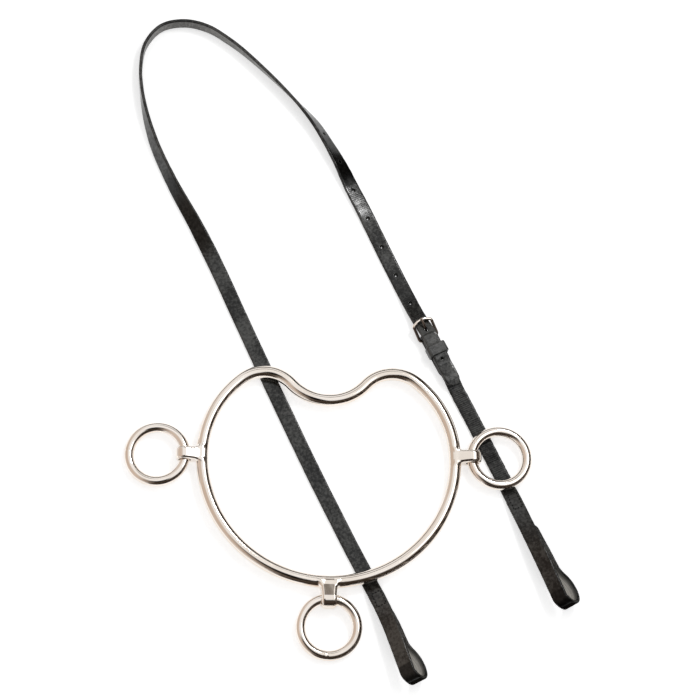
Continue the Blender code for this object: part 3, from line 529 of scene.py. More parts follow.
class Nodes:
    """The node tree of a material or world, with short ways to add and join nodes."""

    def __init__(self, owner):
        owner.use_nodes = True
        self.owner = owner
        self.tree = owner.node_tree
        self.shader = self.tree.nodes.get("Principled BSDF")

    def add(self, kind, inputs=None, **settings):
        made = self.tree.nodes.new("ShaderNode" + kind)
        for key, value in settings.items():
            setattr(made, key, value)
        for key, value in (inputs or {}).items():
            self.put(made.inputs[key], value)
        return made

    def put(self, socket, value):
        if isinstance(value, bpy.types.NodeSocket):
            self.tree.links.new(value, socket)
        else:
            socket.default_value = value

    def shade(self, **inputs):
        for key, value in inputs.items():
            self.put(self.shader.inputs[key.replace("_", " ")], value)

    def math(self, operation, first, second=0.0):
        return self.add("Math", {0: first, 1: second}, operation=operation).outputs[0]

    def plus(self, first, second):
        return self.math("ADD", first, second)

    def times(self, first, second):
        return self.math("MULTIPLY", first, second)

    def ramp(self, value, low, high, to_low=0.0, to_high=1.0):
        """value from low to high, mapped smoothly to the other two."""
        inputs = {0: value, 1: low, 2: high, 3: to_low, 4: to_high}
        return self.add("MapRange", inputs, interpolation_type="SMOOTHSTEP").outputs[0]

    def window(self, value, low, high, soft):
        """1 where value lies between low and high, falling off over soft on both sides."""
        after = self.ramp(value, low - soft, low)
        return self.times(after, self.ramp(value, high, high + soft, 1.0, 0.0))

    def dulled(self, value, share, least):
        """value, down to least of itself where share is 1."""
        return self.times(value, self.ramp(share, 0.0, 1.0, 1.0, least))

    def mix(self, share, first, second):
        return self.add("Mix", {0: share, 6: first, 7: second}, data_type="RGBA").outputs[2]

    def tinted(self, colour, share, amount, other, factor):
        """colour, mixed by share times amount with other times factor."""
        return self.mix(self.times(share, amount), colour, opaque(other, factor))

    def noise(self, vector, scale, detail=3.0, rough=0.5, stretch=None):
        if stretch:
            vector = self.add("Mapping", {"Vector": vector, "Scale": stretch}).outputs[0]
        inputs = {"Vector": vector, "Scale": scale, "Detail": detail, "Roughness": rough}
        return self.add("TexNoise", inputs).outputs[0]

    def cells(self, vector, scale):
        return self.add("TexVoronoi", {"Vector": vector, "Scale": scale}).outputs["Distance"]

    def bump(self, height, distance, strength, below=None):
        node = self.add("Bump", {"Height": height, "Distance": distance, "Strength": strength})
        if below:
            self.put(node.inputs["Normal"], below)
        return node.outputs[0]

    def seen(self):
        """1 for the camera's own rays and the mirrored or clear ones, 0 for rays that light."""
        rays = self.add("LightPath").outputs
        both = self.math("MAXIMUM", rays["Is Camera Ray"], rays["Is Glossy Ray"])
        return self.math("MAXIMUM", both, rays["Is Transmission Ray"])


def new_material(name):
    """The nodes of a new material, and the place on the piece that its patterns hang on."""
    n = Nodes(bpy.data.materials.new(name))
    return n, n.add("TexCoord").outputs["Object"]


def nickel(name, clean, dull, rough):
    """Polished warm nickel plate with faint scratches, smears and pits."""
    n, place = new_material(name)
    smear = n.noise(place, 260.0, 4.0, stretch=(1.0, 0.35, 1.0))
    scratch = n.noise(place, 5200.0, 2.0, stretch=(0.15, 1.0, 1.0))
    pitted = n.bump(n.ramp(n.cells(place, 900.0), 0.0, 0.12), 0.01 * MM, 0.25)
    tone = n.ramp(n.noise(place, 45.0, 2.0), 0.35, 0.65)
    n.shade(
        Base_Color=n.mix(tone, opaque(clean), opaque(dull)),
        Metallic=1.0,
        Roughness=n.ramp(smear, 0.35, 0.75, rough, rough + 0.095),
        Normal=n.bump(scratch, 0.003 * MM, 0.3, pitted),
    )
    return n.owner


def leather(name, dark, light, rough, gloss=0.46, brown=0.0, loop_light_and_shade=False, ribbed=None,
            shade_stretches=()):
    """Strap leather. The map "strap" runs along it and round it, in centimetres.

    By distance along the strap, ribbed is the stretch that is creased most, with painted shade
    in its grooves, and each stretch of painted shade (from, to, softness) is darker and duller.
    brown is the tint near its end. Where the strap turns back, the loop flag paints paler
    streaks, a painted sheen, and painted shade towards one edge.
    """
    n, place = new_material(name)
    run = n.add("UVMap", uv_map="strap").outputs[0]
    along, round_it = n.add("SeparateXYZ", {0: run}).outputs[:2]
    lines = n.noise(run, 1.0, 4.0, 0.65, (11.0, 0.9, 1.0))
    fine = n.noise(run, 1.0, 2.0, 0.5, (38.0, 2.4, 1.0))
    streaks = n.noise(run, 1.0, 3.0, 0.6, (0.7, 26.0, 1.0))
    mottle = n.ramp(n.noise(place, 560.0, 3.0, 0.7), 0.3, 0.72, -0.6, 0.8)
    tone = n.plus(n.ramp(n.noise(place, 38.0), 0.34, 0.68), mottle)
    shine = n.ramp(tone, -0.3, 1.5, 0.62 * gloss, 1.3 * gloss)
    colour = n.mix(n.ramp(tone, -0.2, 1.5), opaque(dark), opaque(light))
    colour = n.tinted(colour, n.ramp(lines, 0.54, 0.72), 0.5, light, 1.6)
    if brown:
        tint = (1.5 * light[0], 0.95 * light[1], 0.65 * light[2])
        colour = n.tinted(colour, n.ramp(along, 2.0, 6.0, 1.0, 0.0), brown, tint, 1.0)
    # Where the strap turns back: paler streaks as a painted sheen, and painted shade towards one
    # edge
    if loop_light_and_shade:
        loop = n.ramp(along, -1.5, 0.0, 1.0, 0.0)
        loop_sheen = n.times(n.ramp(streaks, 0.3, 0.6, 0.35, 1.0), loop)
        loop_shade = n.times(n.ramp(round_it, 1.6, 1.9), loop)
        colour = n.tinted(colour, loop_sheen, 0.9, light, 3.5)
        colour = n.tinted(colour, loop_shade, 0.9, dark, 0.15)
    wave = n.math("SINE", n.plus(n.times(along, 53.0), n.times(lines, 9.0)))
    depth = 0.3
    if ribbed:
        mask = n.window(along, *ribbed, 0.8)
        depth = n.plus(n.times(mask, 0.25), depth)
        # Darker in the grooves of the creases: painted shade
        groove_shade = n.times(n.ramp(wave, 0.0, -0.9), mask)
        colour = n.tinted(colour, groove_shade, 0.8, dark, 0.3)
        shine = n.dulled(n.dulled(shine, mask, 0.65), groove_shade, 0.45)
    # Painted shade: each of these stretches is darker and duller
    for stretch in shade_stretches:
        mask = n.window(along, *stretch)
        colour = n.tinted(colour, mask, 0.85, dark, 0.5)
        shine = n.dulled(shine, mask, 0.55)
    pores = n.plus(n.noise(place, 1500.0, 4.0, 0.65), n.times(n.cells(place, 1100.0), 0.6))
    normal = n.bump(pores, 0.012 * MM, 0.7)
    normal = n.bump(n.times(wave, depth), 0.018 * MM, 0.7, normal)
    normal = n.bump(streaks, 0.012 * MM, 0.6, normal)
    normal = n.bump(n.plus(lines, n.times(fine, 0.5)), 0.018 * MM, 0.8, normal)
    worn = n.ramp(n.noise(place, 150.0), 0.35, 0.7, rough - 0.03, rough + 0.05)
    n.shade(Base_Color=colour, Roughness=worn, Normal=normal, Specular_IOR_Level=shine)
    return n.owner


def thread():
    """Waxed black thread with a twist."""
    n, place = new_material("black_thread")
    twist = n.noise(place, 3400.0, 2.0)
    colour = n.mix(n.ramp(twist, 0.4, 0.65), (0.001, 0.001, 0.001, 1), (0.006, 0.0055, 0.005, 1))
    normal = n.bump(twist, 0.08 * MM, 0.7)
    n.shade(Base_Color=colour, Roughness=0.7, Normal=normal, Specular_IOR_Level=0.08)
    return n.owner


# Stretches of the straps: the creased one of the short strap in metres, and the loops' outer
# bend in centimetres, which is darkened as painted shade
RIBBED = (55.0 * MM, 125.0 * MM)
LOOP_BEND_SHADE = (-4.0, -1.35, 0.12)

NICKEL = nickel("polished_nickel", (0.87, 0.805, 0.745), (0.80, 0.725, 0.65), 0.075)
# A darker copy of the polished nickel for the buckle's side bars, heel bar and pin: painted shade
# standing for their dark reflections
SHADED_NICKEL = nickel("shaded_nickel", (0.19, 0.155, 0.13), (0.12, 0.095, 0.08), 0.14)
# The long strap's darker stretches, at the loop's bend and at 27.2 to 31.0 cm and 55.3 to 58.5 cm,
# are painted shade
LONG_LEATHER = leather(
    "long_leather", (0.003, 0.003, 0.0028), (0.036, 0.0356, 0.032), 0.17, 0.5, brown=0.12,
    shade_stretches=(LOOP_BEND_SHADE, (27.2, 31.0, 1.4), (55.3, 58.5, 0.3)),
)
SHORT_LEATHER = leather(
    "short_leather", (0.002, 0.002, 0.0018), (0.028, 0.0277, 0.0248), 0.18, 0.44, brown=0.06,
    ribbed=[place / CENTIMETRE for place in RIBBED], shade_stretches=(LOOP_BEND_SHADE,),
)
# Flesh side, with the painted sheen and shade where the strap turns back
LEATHER_BACK = leather(
    "leather_back", (0.075, 0.072, 0.067), (0.18, 0.172, 0.158), 0.36, loop_light_and_shade=True
)
# Cut edges, a little lighter than the faces: partly their own finish, partly a painted highlight
# along them
LEATHER_EDGE = leather("leather_edge", (0.01, 0.0095, 0.009), (0.05, 0.048, 0.045), 0.48, 0.4)
KEEPER_LEATHER = leather("keeper_leather", (0.014, 0.014, 0.0135), (0.042, 0.042, 0.0395), 0.38)
FLESH = leather("patch_leather", (0.03, 0.028, 0.025), (0.08, 0.074, 0.066), 0.5, 0.35)
THREAD = thread()


# Making pieces


def link(name, data):
    obj = bpy.data.objects.new(name, data)
    bpy.context.scene.collection.objects.link(obj)
    return obj


def add_map(mesh, name, run):
    layer = mesh.uv_layers.new(name=name)
    layer.data.foreach_set("uv", np.array(run, np.float32).ravel())


def new_mesh(name, points, faces, run=None):
    """A mesh from points in the plan, its faces turned outward."""
    mesh = bpy.data.meshes.new(name)
    mesh.from_pydata([Vector(p) + ORIGIN for p in points], [], faces)
    mesh.validate()
    if run is not None:
        add_map(mesh, "strap", run)
    shape = bmesh.new()
    shape.from_mesh(mesh)
    bmesh.ops.recalc_face_normals(shape, faces=shape.faces)
    shape.to_mesh(mesh)
    shape.free()
    return mesh


def piece(name, points, faces, finish, body, replaces=(), run=None, normals=None):
    """A shown piece from points in the plan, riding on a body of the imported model."""
    mesh = new_mesh(name, points, faces, run)
    mesh.shade_smooth()
    if normals is not None:
        mesh.normals_split_custom_set_from_vertices(normals)
    mesh.materials.append(finish)
    obj = link(name, mesh)
    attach(obj, body)
    if replaces:
        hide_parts(*replaces)
    return obj


def skin(rings, count, closed):
    """Faces of a skin over rings of count points, with end caps where it isn't closed."""
    faces = []
    for ring in range(rings if closed else rings - 1):
        here = ring * count
        there = (ring + 1) % rings * count
        for side in range(count):
            after = (side + 1) % count
            faces.append((here + side, here + after, there + after, there + side))
    if not closed:
        faces.append(tuple(reversed(range(count))))
        faces.append(tuple(range((rings - 1) * count, rings * count)))
    return faces


def turns(count):
    return [2 * math.pi * k / count for k in range(count)]


def circle(centre, radius, first, second, count):
    return [centre + radius * turned(angle, first, second) for angle in turns(count)]


def bar(name, path, across, radii, sides, finish, body, node, placed=Matrix(), flat=None):
    """Steel bar along a flat path, closed unless flat gives its width over its height."""
    points = []
    closed = flat is None
    last = len(path) - 1
    for i, place in enumerate(path):
        before = path[i - 1] if closed or i > 0 else place
        after = path[(i + 1) % len(path)] if closed or i < last else place
        side = (after - before).cross(across).normalized()
        wide = 1.0 if closed else flat[i]
        points += [placed @ p for p in circle(place, radii[i], side, wide * across, sides)]
    return piece(name, points, skin(len(path), sides, closed), finish, body, [node])


# Mouth ring, as the zero surface of a distance field


def heart_arcs():
    """The right half's arcs as (centre x, centre y, radius, first angle, turn)."""
    arcs = []
    centre = Vector((0, 0))
    radius, angle = MOUTH_RADIUS, -90.0
    for next_radius, turn in (
        (SHOULDER_RADIUS, 90 + MOUTH_RISE_DEG),
        (LOBE_RADIUS, SHOULDER_DEG),
        (None, LOBE_DEG),
    ):
        arcs.append((centre.x, centre.y, radius, math.radians(angle), math.radians(turn)))
        angle += turn
        way = Vector((math.cos(math.radians(angle)), math.sin(math.radians(angle))))
        if next_radius:
            centre = centre + (radius - next_radius) * way
            radius = next_radius
    dip_start = centre + radius * way
    dip_radius = dip_start.x / -way.x
    dip = dip_start + dip_radius * way
    arcs.append((dip.x, dip.y, dip_radius, math.radians(angle + 180), math.radians(90 - angle)))
    return arcs


HEART = heart_arcs()


def heart_distance(x, y):
    x = np.abs(x)
    best = FAR
    for cx, cy, radius, start, turn in HEART:
        dx, dy = x - cx, y - cy
        sense = 1.0 if turn > 0 else -1.0
        past = np.mod((np.arctan2(dy, dx) - start) * sense, 2 * math.pi)
        to_arc = np.where(past <= abs(turn), np.abs(np.hypot(dx, dy) - radius), FAR)
        ex, ey = cx + radius * math.cos(start), cy + radius * math.sin(start)
        best = np.minimum(best, np.minimum(to_arc, np.hypot(x - ex, y - ey)))
    return best


def joined(a, b, size):
    near = np.maximum(size - np.abs(a - b), 0) / size
    return np.minimum(a, b) - near * near * size / 4


def cut(a, b, size):
    return -joined(-a, -b, size)


def lug_fields(x, y, z, name):
    """Signed distances of an eye's lug and of its bore, and the distance along the bore."""
    axis, outward, along, length = EYES[name]
    reach = eye_reach(length)
    bore_radius = eye_bore(length)
    barrel_radius = bore_radius + EYE_WALL
    dx, dy, h = x - axis.x, y - axis.y, z - axis.z
    s = dx * outward.x + dy * outward.y + reach
    a = np.abs(dx * along.x + dy * along.y)
    root = ROD_RADIUS - LUG_ROOT_INSET
    lean = (root - barrel_radius) / reach
    level = math.sqrt(1 - lean * lean)
    high = np.abs(h)
    round_end = np.hypot(s - reach, h)
    profile = np.where(
        level * s - lean * high > level * reach, round_end - barrel_radius,
        level * high + lean * s - root,
    )
    half_long = length / 2 + LUG_FLARE * (1 - np.clip(s / reach, 0, 1)) ** LUG_FLARE_POWER
    over_s = s - (reach + barrel_radius - LUG_CORNER)
    over_a = a - (half_long - LUG_CORNER)
    plan = np.hypot(np.maximum(over_s, 0), np.maximum(over_a, 0)) - LUG_CORNER
    plan = plan + np.minimum(np.maximum(over_s, over_a), 0)
    body = cut(cut(profile, plan, LUG_EDGE), -s, BORE_EDGE)
    return body, round_end - bore_radius, a


def mouth_field(x, y, z):
    """Signed distance of the rod with its lugs, whose fillets grow towards the lugs' ends."""
    value = np.hypot(heart_distance(x, y), z - ROD_HEIGHT) - ROD_RADIUS
    bores = []
    for name, (_, _, _, length) in EYES.items():
        body, bore, a = lug_fields(x, y, z, name)
        beside = np.clip((a - length / 2) / LUG_FILLET_FADE + 1, 0, 1)
        value = joined(value, body, LUG_TOP_FILLET + (LUG_FILLET - LUG_TOP_FILLET) * beside)
        bores.append(bore)
    for bore in bores:
        value = cut(value, -bore, BORE_EDGE)
    return value


def gradient(field, points):
    columns = []
    for move in SLOPE_REACH * np.eye(3):
        rise = field(*(points + move).T) - field(*(points - move).T)
        columns.append(rise / (2 * SLOPE_REACH))
    return np.stack(columns, 1)


def surface_net(field, low, high, step):
    """Closed surface where the field is zero: points on it, faces, and the field's own normals."""
    axes = [np.arange(a, b + step, step) for a, b in zip(low, high)]
    inside = field(*np.meshgrid(*axes, indexing="ij", sparse=True)) < 0
    inside = np.broadcast_to(inside, [len(axis) for axis in axes])
    ends = (slice(None, -1), slice(1, None))
    corners = sum(inside[i, j, k].astype(np.int8) for i in ends for j in ends for k in ends)
    mixed = (corners > 0) & (corners < 8)
    number = np.full(mixed.shape, -1)
    number[mixed] = np.arange(mixed.sum())
    points = np.array([axis[0] for axis in axes]) + (np.argwhere(mixed) + 0.5) * step
    for _ in range(NET_PULLS):
        slope = gradient(field, points)
        steepness = np.maximum((slope**2).sum(1), LEAST_STEEPNESS)
        points = points - (field(*points.T) / steepness)[:, None] * slope
    slope = gradient(field, points)
    slope /= np.linalg.norm(slope, axis=1)[:, None]
    faces = []
    for axis in range(3):
        ahead = np.moveaxis(inside, axis, 0)
        ids = np.moveaxis(number, axis, 0)
        changed = (ahead[:-1] != ahead[1:])[:, 1:-1, 1:-1]
        around = (ids[:, :-1, :-1], ids[:, 1:, :-1], ids[:, 1:, 1:], ids[:, :-1, 1:])
        faces.append(np.stack(around, -1)[changed])
    return points, np.concatenate(faces).tolist(), slope


def mouth_ring():
    wide = SIDE_EYE_X + eye_bore(SIDE_EYE_LENGTH) + EYE_WALL + NET_ROOM
    tall = eye_bore(BOTTOM_EYE_LENGTH) + EYE_WALL + NET_ROOM
    top = max(cy + radius for _, cy, radius, _, _ in HEART[:3]) + ROD_RADIUS + NET_ROOM
    low = (-wide, BOTTOM_EYE_Y - tall, ROD_HEIGHT - tall)
    high = (wide, top, ROD_HEIGHT + tall)
    points, faces, normals = surface_net(mouth_field, low, high, NET_STEP)
    piece(
        "mouth_ring", points, faces, NICKEL, "bit", ["bit_mouth_ring"], normals=normals
    )


# Loose rings


def loose_ring(name):
    """Wire ring through its eye, with the slight bead and nick of its weld."""
    axis, outward, along, length = EYES[name]
    inset = sagitta(length) / 2
    droop = math.asin((ROD_HEIGHT - RING_WIRE_RADIUS) / (2 * RING_RADIUS - inset))
    if name == "right":
        droop = math.radians(RIGHT_RING_TILT_DEG)
    out = turned(droop, outward, -UP)
    path = circle(axis + (RING_RADIUS - inset) * out, RING_RADIUS, out, along, RING_STEPS)
    radii = []
    for angle in turns(RING_STEPS):
        turn = (angle - math.radians(WELDS[name]) + math.pi) % (2 * math.pi) - math.pi
        radius = RING_WIRE_RADIUS
        for height, width in (WELD_BEAD, WELD_NICK):
            radius += height * math.exp(-((turn * RING_RADIUS / width) ** 2))
        radii.append(radius)
    bar(name + "_wire_ring", path, out.cross(along).normalized(), radii, WIRE_SIDES, NICKEL,
        name + "_loose_ring", name + "_ring")


# Buckle


def arc(centre, radius, start_deg, turn_deg, step_deg):
    steps = max(1, math.ceil(abs(turn_deg) / step_deg))
    angles = [math.radians(start_deg + turn_deg * i / steps) for i in range(steps)]
    return [centre + radius * turned(angle, EAST, NORTH) for angle in angles]


def frame_tilt():
    """How far the frame leans up, so that its far bar clears the strap."""
    tilt = 0.0
    for _ in range(TILT_ROUNDS):
        top = long_height(-FRAME_LENGTH * math.cos(tilt)) + HALF_THICK
        tilt = math.asin((top + GAP + BAR_RADIUS - HEEL_HEIGHT) / FRAME_LENGTH)
    return tilt


def buckle_matrix():
    turn = math.atan2(-BUCKLE_RUN.y, -BUCKLE_RUN.x)
    return Matrix.Translation(BUCKLE_PLAN + HEEL_HEIGHT * UP) @ Matrix.Rotation(turn, 4, "Z")


def frame_path():
    half = HALF_WIDTH + FRAME_SIDE_GAP + BAR_RADIUS
    corner = FRAME_CORNER
    chord = half - corner
    arch_radius = (chord**2 + FRAME_ARCH**2) / (2 * FRAME_ARCH)
    spread = math.degrees(math.asin(chord / arch_radius))
    path = [y * NORTH for y in spaced(0, chord, BAR_STEP)[:-1]]
    path += arc(Vector((corner, chord, 0)), corner, 180, -90, CORNER_STEP_DEG)
    for x in spaced(0, FRAME_LENGTH - 2 * corner, BAR_STEP)[:-1]:
        path.append(Vector((corner + x, half, 0)))
    far_corner = Vector((FRAME_LENGTH - corner, chord, 0))
    path += arc(far_corner, corner, 90, spread - 90, CORNER_STEP_DEG)
    far = FRAME_LENGTH + FRAME_ARCH
    path += arc((far - arch_radius) * EAST, arch_radius, spread, -spread, spread / 8)
    return path + [far * EAST] + [Vector((p.x, -p.y, 0)) for p in reversed(path[1:])]


def buckle_frame():
    path = frame_path()
    placed = buckle_matrix() @ Matrix.Rotation(-frame_tilt(), 4, "Y")
    radii = [BAR_RADIUS] * len(path)
    obj = bar("buckle_bars", path, UP, radii, BAR_SIDES, NICKEL, "frame", "buckle_frame", placed)
    # The frame's bars, but for the far bar and its corners, take the darker nickel: painted shade
    obj.data.materials.append(SHADED_NICKEL)
    for number, face in enumerate(obj.data.polygons):
        if path[number // BAR_SIDES].x < FRAME_LENGTH - BRIGHT_CORNER * FRAME_CORNER:
            face.material_index = 1


def buckle_tongue():
    """One wire: flattened where it wraps the heel bar, then up through the hole to the far bar."""
    root_radius = TONGUE_EYE_WALL / 2
    root_flat = TONGUE_EYE_WIDTH / TONGUE_EYE_WALL
    wrap = BAR_RADIUS + BAR_CLEARANCE + root_radius
    hole = Vector((TONGUE_HOLE_FROM_HEEL + TONGUE_AHEAD_IN_HOLE, 0, 0))
    hole.z = long_height(-TONGUE_HOLE_FROM_HEEL) - HEEL_HEIGHT
    far = (FRAME_LENGTH + FRAME_ARCH) * turned(frame_tilt(), EAST, UP)
    over = far + (BAR_RADIUS + GAP + TONGUE_TIP_RADIUS) * UP
    crest = Vector((hole.x + TONGUE_CREST * (over.x - hole.x), 0, over.z))
    wire = []
    for turn in spaced(TONGUE_ROOT_DEG - TONGUE_WRAP_DEG, TONGUE_ROOT_DEG, 6):
        wire.append((wrap * turned(math.radians(turn), EAST, UP), root_radius, root_flat))
    start = wire[-1][0]
    for t in spaced(0, 1, 1 / 10)[1:]:
        radius = root_radius + (TONGUE_RADIUS - root_radius) * ease(1.5 * t)
        wire.append((start.lerp(hole, t), radius, 1 + (root_flat - 1) * (1 - ease(1.6 * t))))
    for t in spaced(0, 1, 1 / 18)[1:]:
        radius = TONGUE_RADIUS + (TONGUE_TIP_RADIUS - TONGUE_RADIUS) * ease(2 * t - 1)
        wire.append(((1 - t) ** 2 * hole + 2 * t * (1 - t) * crest + t * t * over, radius, 1.0))
    for t in (0.25, 0.5, 0.7, 0.85, 0.95, 1.0):
        radius = TONGUE_TIP_RADIUS * max(0.12, math.sqrt(1 - t**4))
        wire.append((over + t * TONGUE_PAST_BAR * EAST, radius, 1.0))
    path, radii, flat = zip(*wire)
    # The pin takes the darker nickel: painted shade
    bar("buckle_pin", path, NORTH, radii, TONGUE_SIDES, SHADED_NICKEL, "tongue", "buckle_tongue",
        buckle_matrix(), flat)


# Leather


def section(half_width, half_thick):
    """Outline of a strap with rounded edges, anticlockwise from its +side."""
    edge = min(EDGE_RADIUS, MOST_OF_HEIGHT * half_thick, MOST_OF_WIDTH * half_width)
    run = half_width - edge
    outline = []
    for side, face, first in ((1, 1, 0), (-1, 1, 90), (-1, -1, 180), (1, -1, 270)):
        for k in range(EDGE_STEPS + 1):
            angle = math.radians(first + 90 * k / EDGE_STEPS)
            high = face * (half_thick - edge) + edge * math.sin(angle)
            outline.append((side * run + edge * math.cos(angle), high))
        if first in (0, 180):
            for k in range(1, FLAT_STEPS):
                outline.append((face * run * (1 - 2 * k / FLAT_STEPS), face * half_thick))
    return outline


def between(stations, marks, mark):
    """The strap's middle, width direction and normal at any distance."""
    i = min(max(int(np.searchsorted(marks, mark)) - 1, 0), len(marks) - 2)
    t = (mark - marks[i]) / (marks[i + 1] - marks[i])
    low, high = stations[i], stations[i + 1]
    middle, across, normal = (low[k].lerp(high[k], t) for k in range(3))
    return middle, across.normalized(), normal.normalized()


def hole_profile(radius, half):
    """A hole's (distance from its axis, height), from the strap's face to its flesh side."""
    flare = min(HOLE_FLARE, half / 2)
    face = [
        (radius + 0.9 * MM, half),
        (radius + 0.45 * MM, half),
        (radius + flare, half),
        (radius + 0.35 * flare, half - 0.45 * flare),
        (radius, half - 1.2 * flare),
    ]
    closing = (1 - (WORN_PINCH if radius > HOLE_RADIUS else HOLE_PINCH)) * radius
    back = [(wide - closing, -high) for wide, high in reversed(face[2:])]
    return face + back + [(wide, -high) for wide, high in reversed(face[:2])]


def ribbon(
    name, stations, finish, replaces, closed=False, width=STRAP_WIDTH, holes=(), back=None,
    ribbed=(0, 0),
):
    """Leather band of the headstrap through the stations.

    holes are (distance, radius), pressed open at their rims. back is the finish of the flesh
    side, and the strap's edges are uneven in the stretch called ribbed.
    """
    rings = len(stations)
    points, outlines = [], []
    for middle, across, normal, share, thickness, mark in stations:
        wobble = EDGE_WANDER * noise.noise(Vector((mark / WANDER_LENGTH, 0.3, width / MM)))
        flutter = RIBBED_FLUTTER if ribbed[0] < mark < ribbed[1] else EDGE_FLUTTER
        wobble += flutter * noise.noise(Vector((mark / FLUTTER_LENGTH, 7.7, width / MM)))
        outlines.append(section(share * (width / 2 + wobble), thickness / 2))
        points += [middle + wide * across + high * normal for wide, high in outlines[-1]]
    marks = [station[5] for station in stations]
    if closed:
        marks.append(2 * marks[-1] - marks[-2])
    outline = outlines[rings // 2]
    half = stations[rings // 2][4] / 2
    count = len(outline)
    spans, steep = [0.0], []
    for k in range(count):
        a, b = outline[k], outline[(k + 1) % count]
        spans.append(spans[-1] + math.dist(a, b))
        steep.append(abs(a[1] + b[1]) / 2 < half - EDGE_SHARE * EDGE_RADIUS)

    # Columns of the face start at point top of an outline, and those of the flesh side at bottom
    top, bottom = EDGE_STEPS, 3 * (EDGE_STEPS + 1) + FLAT_STEPS - 2
    first = (FLAT_STEPS - HOLE_COLUMNS) // 2
    last = first + HOLE_COLUMNS
    faces, run, parts, skipped = [], [], [], set()
    for mark, radius in holes:
        reach = math.ceil((radius + HOLE_MARGIN) / STATION_STEP) * STATION_STEP - 1e-9
        low = max(i for i in range(rings) if marks[i] <= mark - reach)
        high = min(i for i in range(rings) if marks[i] >= mark + reach)
        grid = [(low, column) for column in range(first, last)]
        grid += [(i, last) for i in range(low, high)]
        grid += [(high, column) for column in range(last, first, -1)]
        grid += [(i, first) for i in range(high, low, -1)]
        for i in range(low, high):
            for column in range(first, last):
                skipped |= {(i, top + column), (i, bottom + FLAT_STEPS - 1 - column)}
        half = stations[int(np.argmin([abs(m - mark) for m in marks]))][4] / 2
        squeeze = WORN_SQUEEZE if radius > HOLE_RADIUS else 1.0
        loops = [[i * count + top + column for i, column in grid]]
        places = [[(marks[i], outlines[i][top + column][0]) for i, column in grid]]
        for wide, height in hole_profile(radius, half):
            loops.append(range(len(points), len(points) + len(grid)))
            places.append([])
            for grid_mark, grid_wide in places[0]:
                angle = math.atan2(grid_wide, grid_mark - mark)
                spot = mark + wide * math.cos(angle)
                aside = squeeze * wide * math.sin(angle)
                middle, across, normal = between(stations, marks, spot)
                points.append(middle + aside * across + height * normal)
                places[-1].append((spot, aside))
        loops.append([i * count + bottom + FLAT_STEPS - column for i, column in grid])
        places.append(places[0])
        for level in range(len(loops) - 1):
            for k in range(len(grid)):
                after = (k + 1) % len(grid)
                corners = ((level, k), (level, after), (level + 1, after), (level + 1, k))
                faces.append(tuple(loops[i][j] for i, j in corners))
                parts.append(int(level >= len(loops) - 4))
                run += [(places[i][j][0], width / 2 - places[i][j][1]) for i, j in corners]

    for number, face in enumerate(skin(rings, count, closed)):
        ring, side = divmod(number, count)
        if (ring, side) in skipped:
            continue
        faces.append(face)
        if len(face) == count:
            parts.append(0)
            run += [(marks[0], 0.0)] * count
            continue
        parts.append(1 if bottom <= side < bottom + FLAT_STEPS else 2 * steep[side])
        run += [(marks[ring + i], spans[side + j]) for i, j in ((0, 0), (0, 1), (1, 1), (1, 0))]
    run = np.array(run) / CENTIMETRE
    obj = piece(name, points, faces, finish, "headstrap", replaces, run)
    if back:
        obj.data.materials.append(back)
        obj.data.materials.append(LEATHER_EDGE)
        obj.data.polygons.foreach_set("material_index", parts)
    return obj


def cut_out(obj, points, faces):
    """Takes a solid out of obj's mesh for good."""
    tool = new_mesh("cutter", points, faces)
    tool.uv_layers.new(name="strap")
    helper = link("cutter", tool)
    modifier = obj.modifiers.new("cut", "BOOLEAN")
    modifier.object = helper
    modifier.operation = "DIFFERENCE"
    modifier.solver = "EXACT"
    graph = bpy.context.evaluated_depsgraph_get()
    made = bpy.data.meshes.new_from_object(obj.evaluated_get(graph))
    obj.modifiers.clear()
    old = obj.data
    name = old.name
    obj.data = made
    bpy.data.objects.remove(helper)
    for mesh in (old, tool):
        bpy.data.meshes.remove(mesh)
    made.name = name
    made.shade_smooth()
    made.set_sharp_from_angle(angle=math.radians(50))


def turnback_hole():
    """The stud's hole in the turned-back layer, as (distance, radius)."""
    return -LOOP_FRONT_RUN - loop_length() - STUD_FROM_NECK, STUD_POST_RADIUS + GAP


def long_strap():
    strap = LONG_STRAP
    tip = strap.heel - HALF_WIDTH
    stations = strap.end_loop() + strap.leg(0, tip)[:-1] + strap.leg(tip, strap.length, True)
    holes = [turnback_hole()]
    for i in range(-HOLES_BELOW, HOLES_ABOVE + 1):
        radius = HOLE_RADIUS - (HOLE_CLOSING if i > 0 else TAIL_HOLE_CLOSING)
        place = strap.heel - TONGUE_HOLE_FROM_HEEL - i * HOLE_PITCH
        holes.append((place, radius if i else TONGUE_HOLE_RADIUS))
    ribbon("long_strap", stations, LONG_LEATHER, ["point_strap"], holes=holes,
           back=LEATHER_BACK)


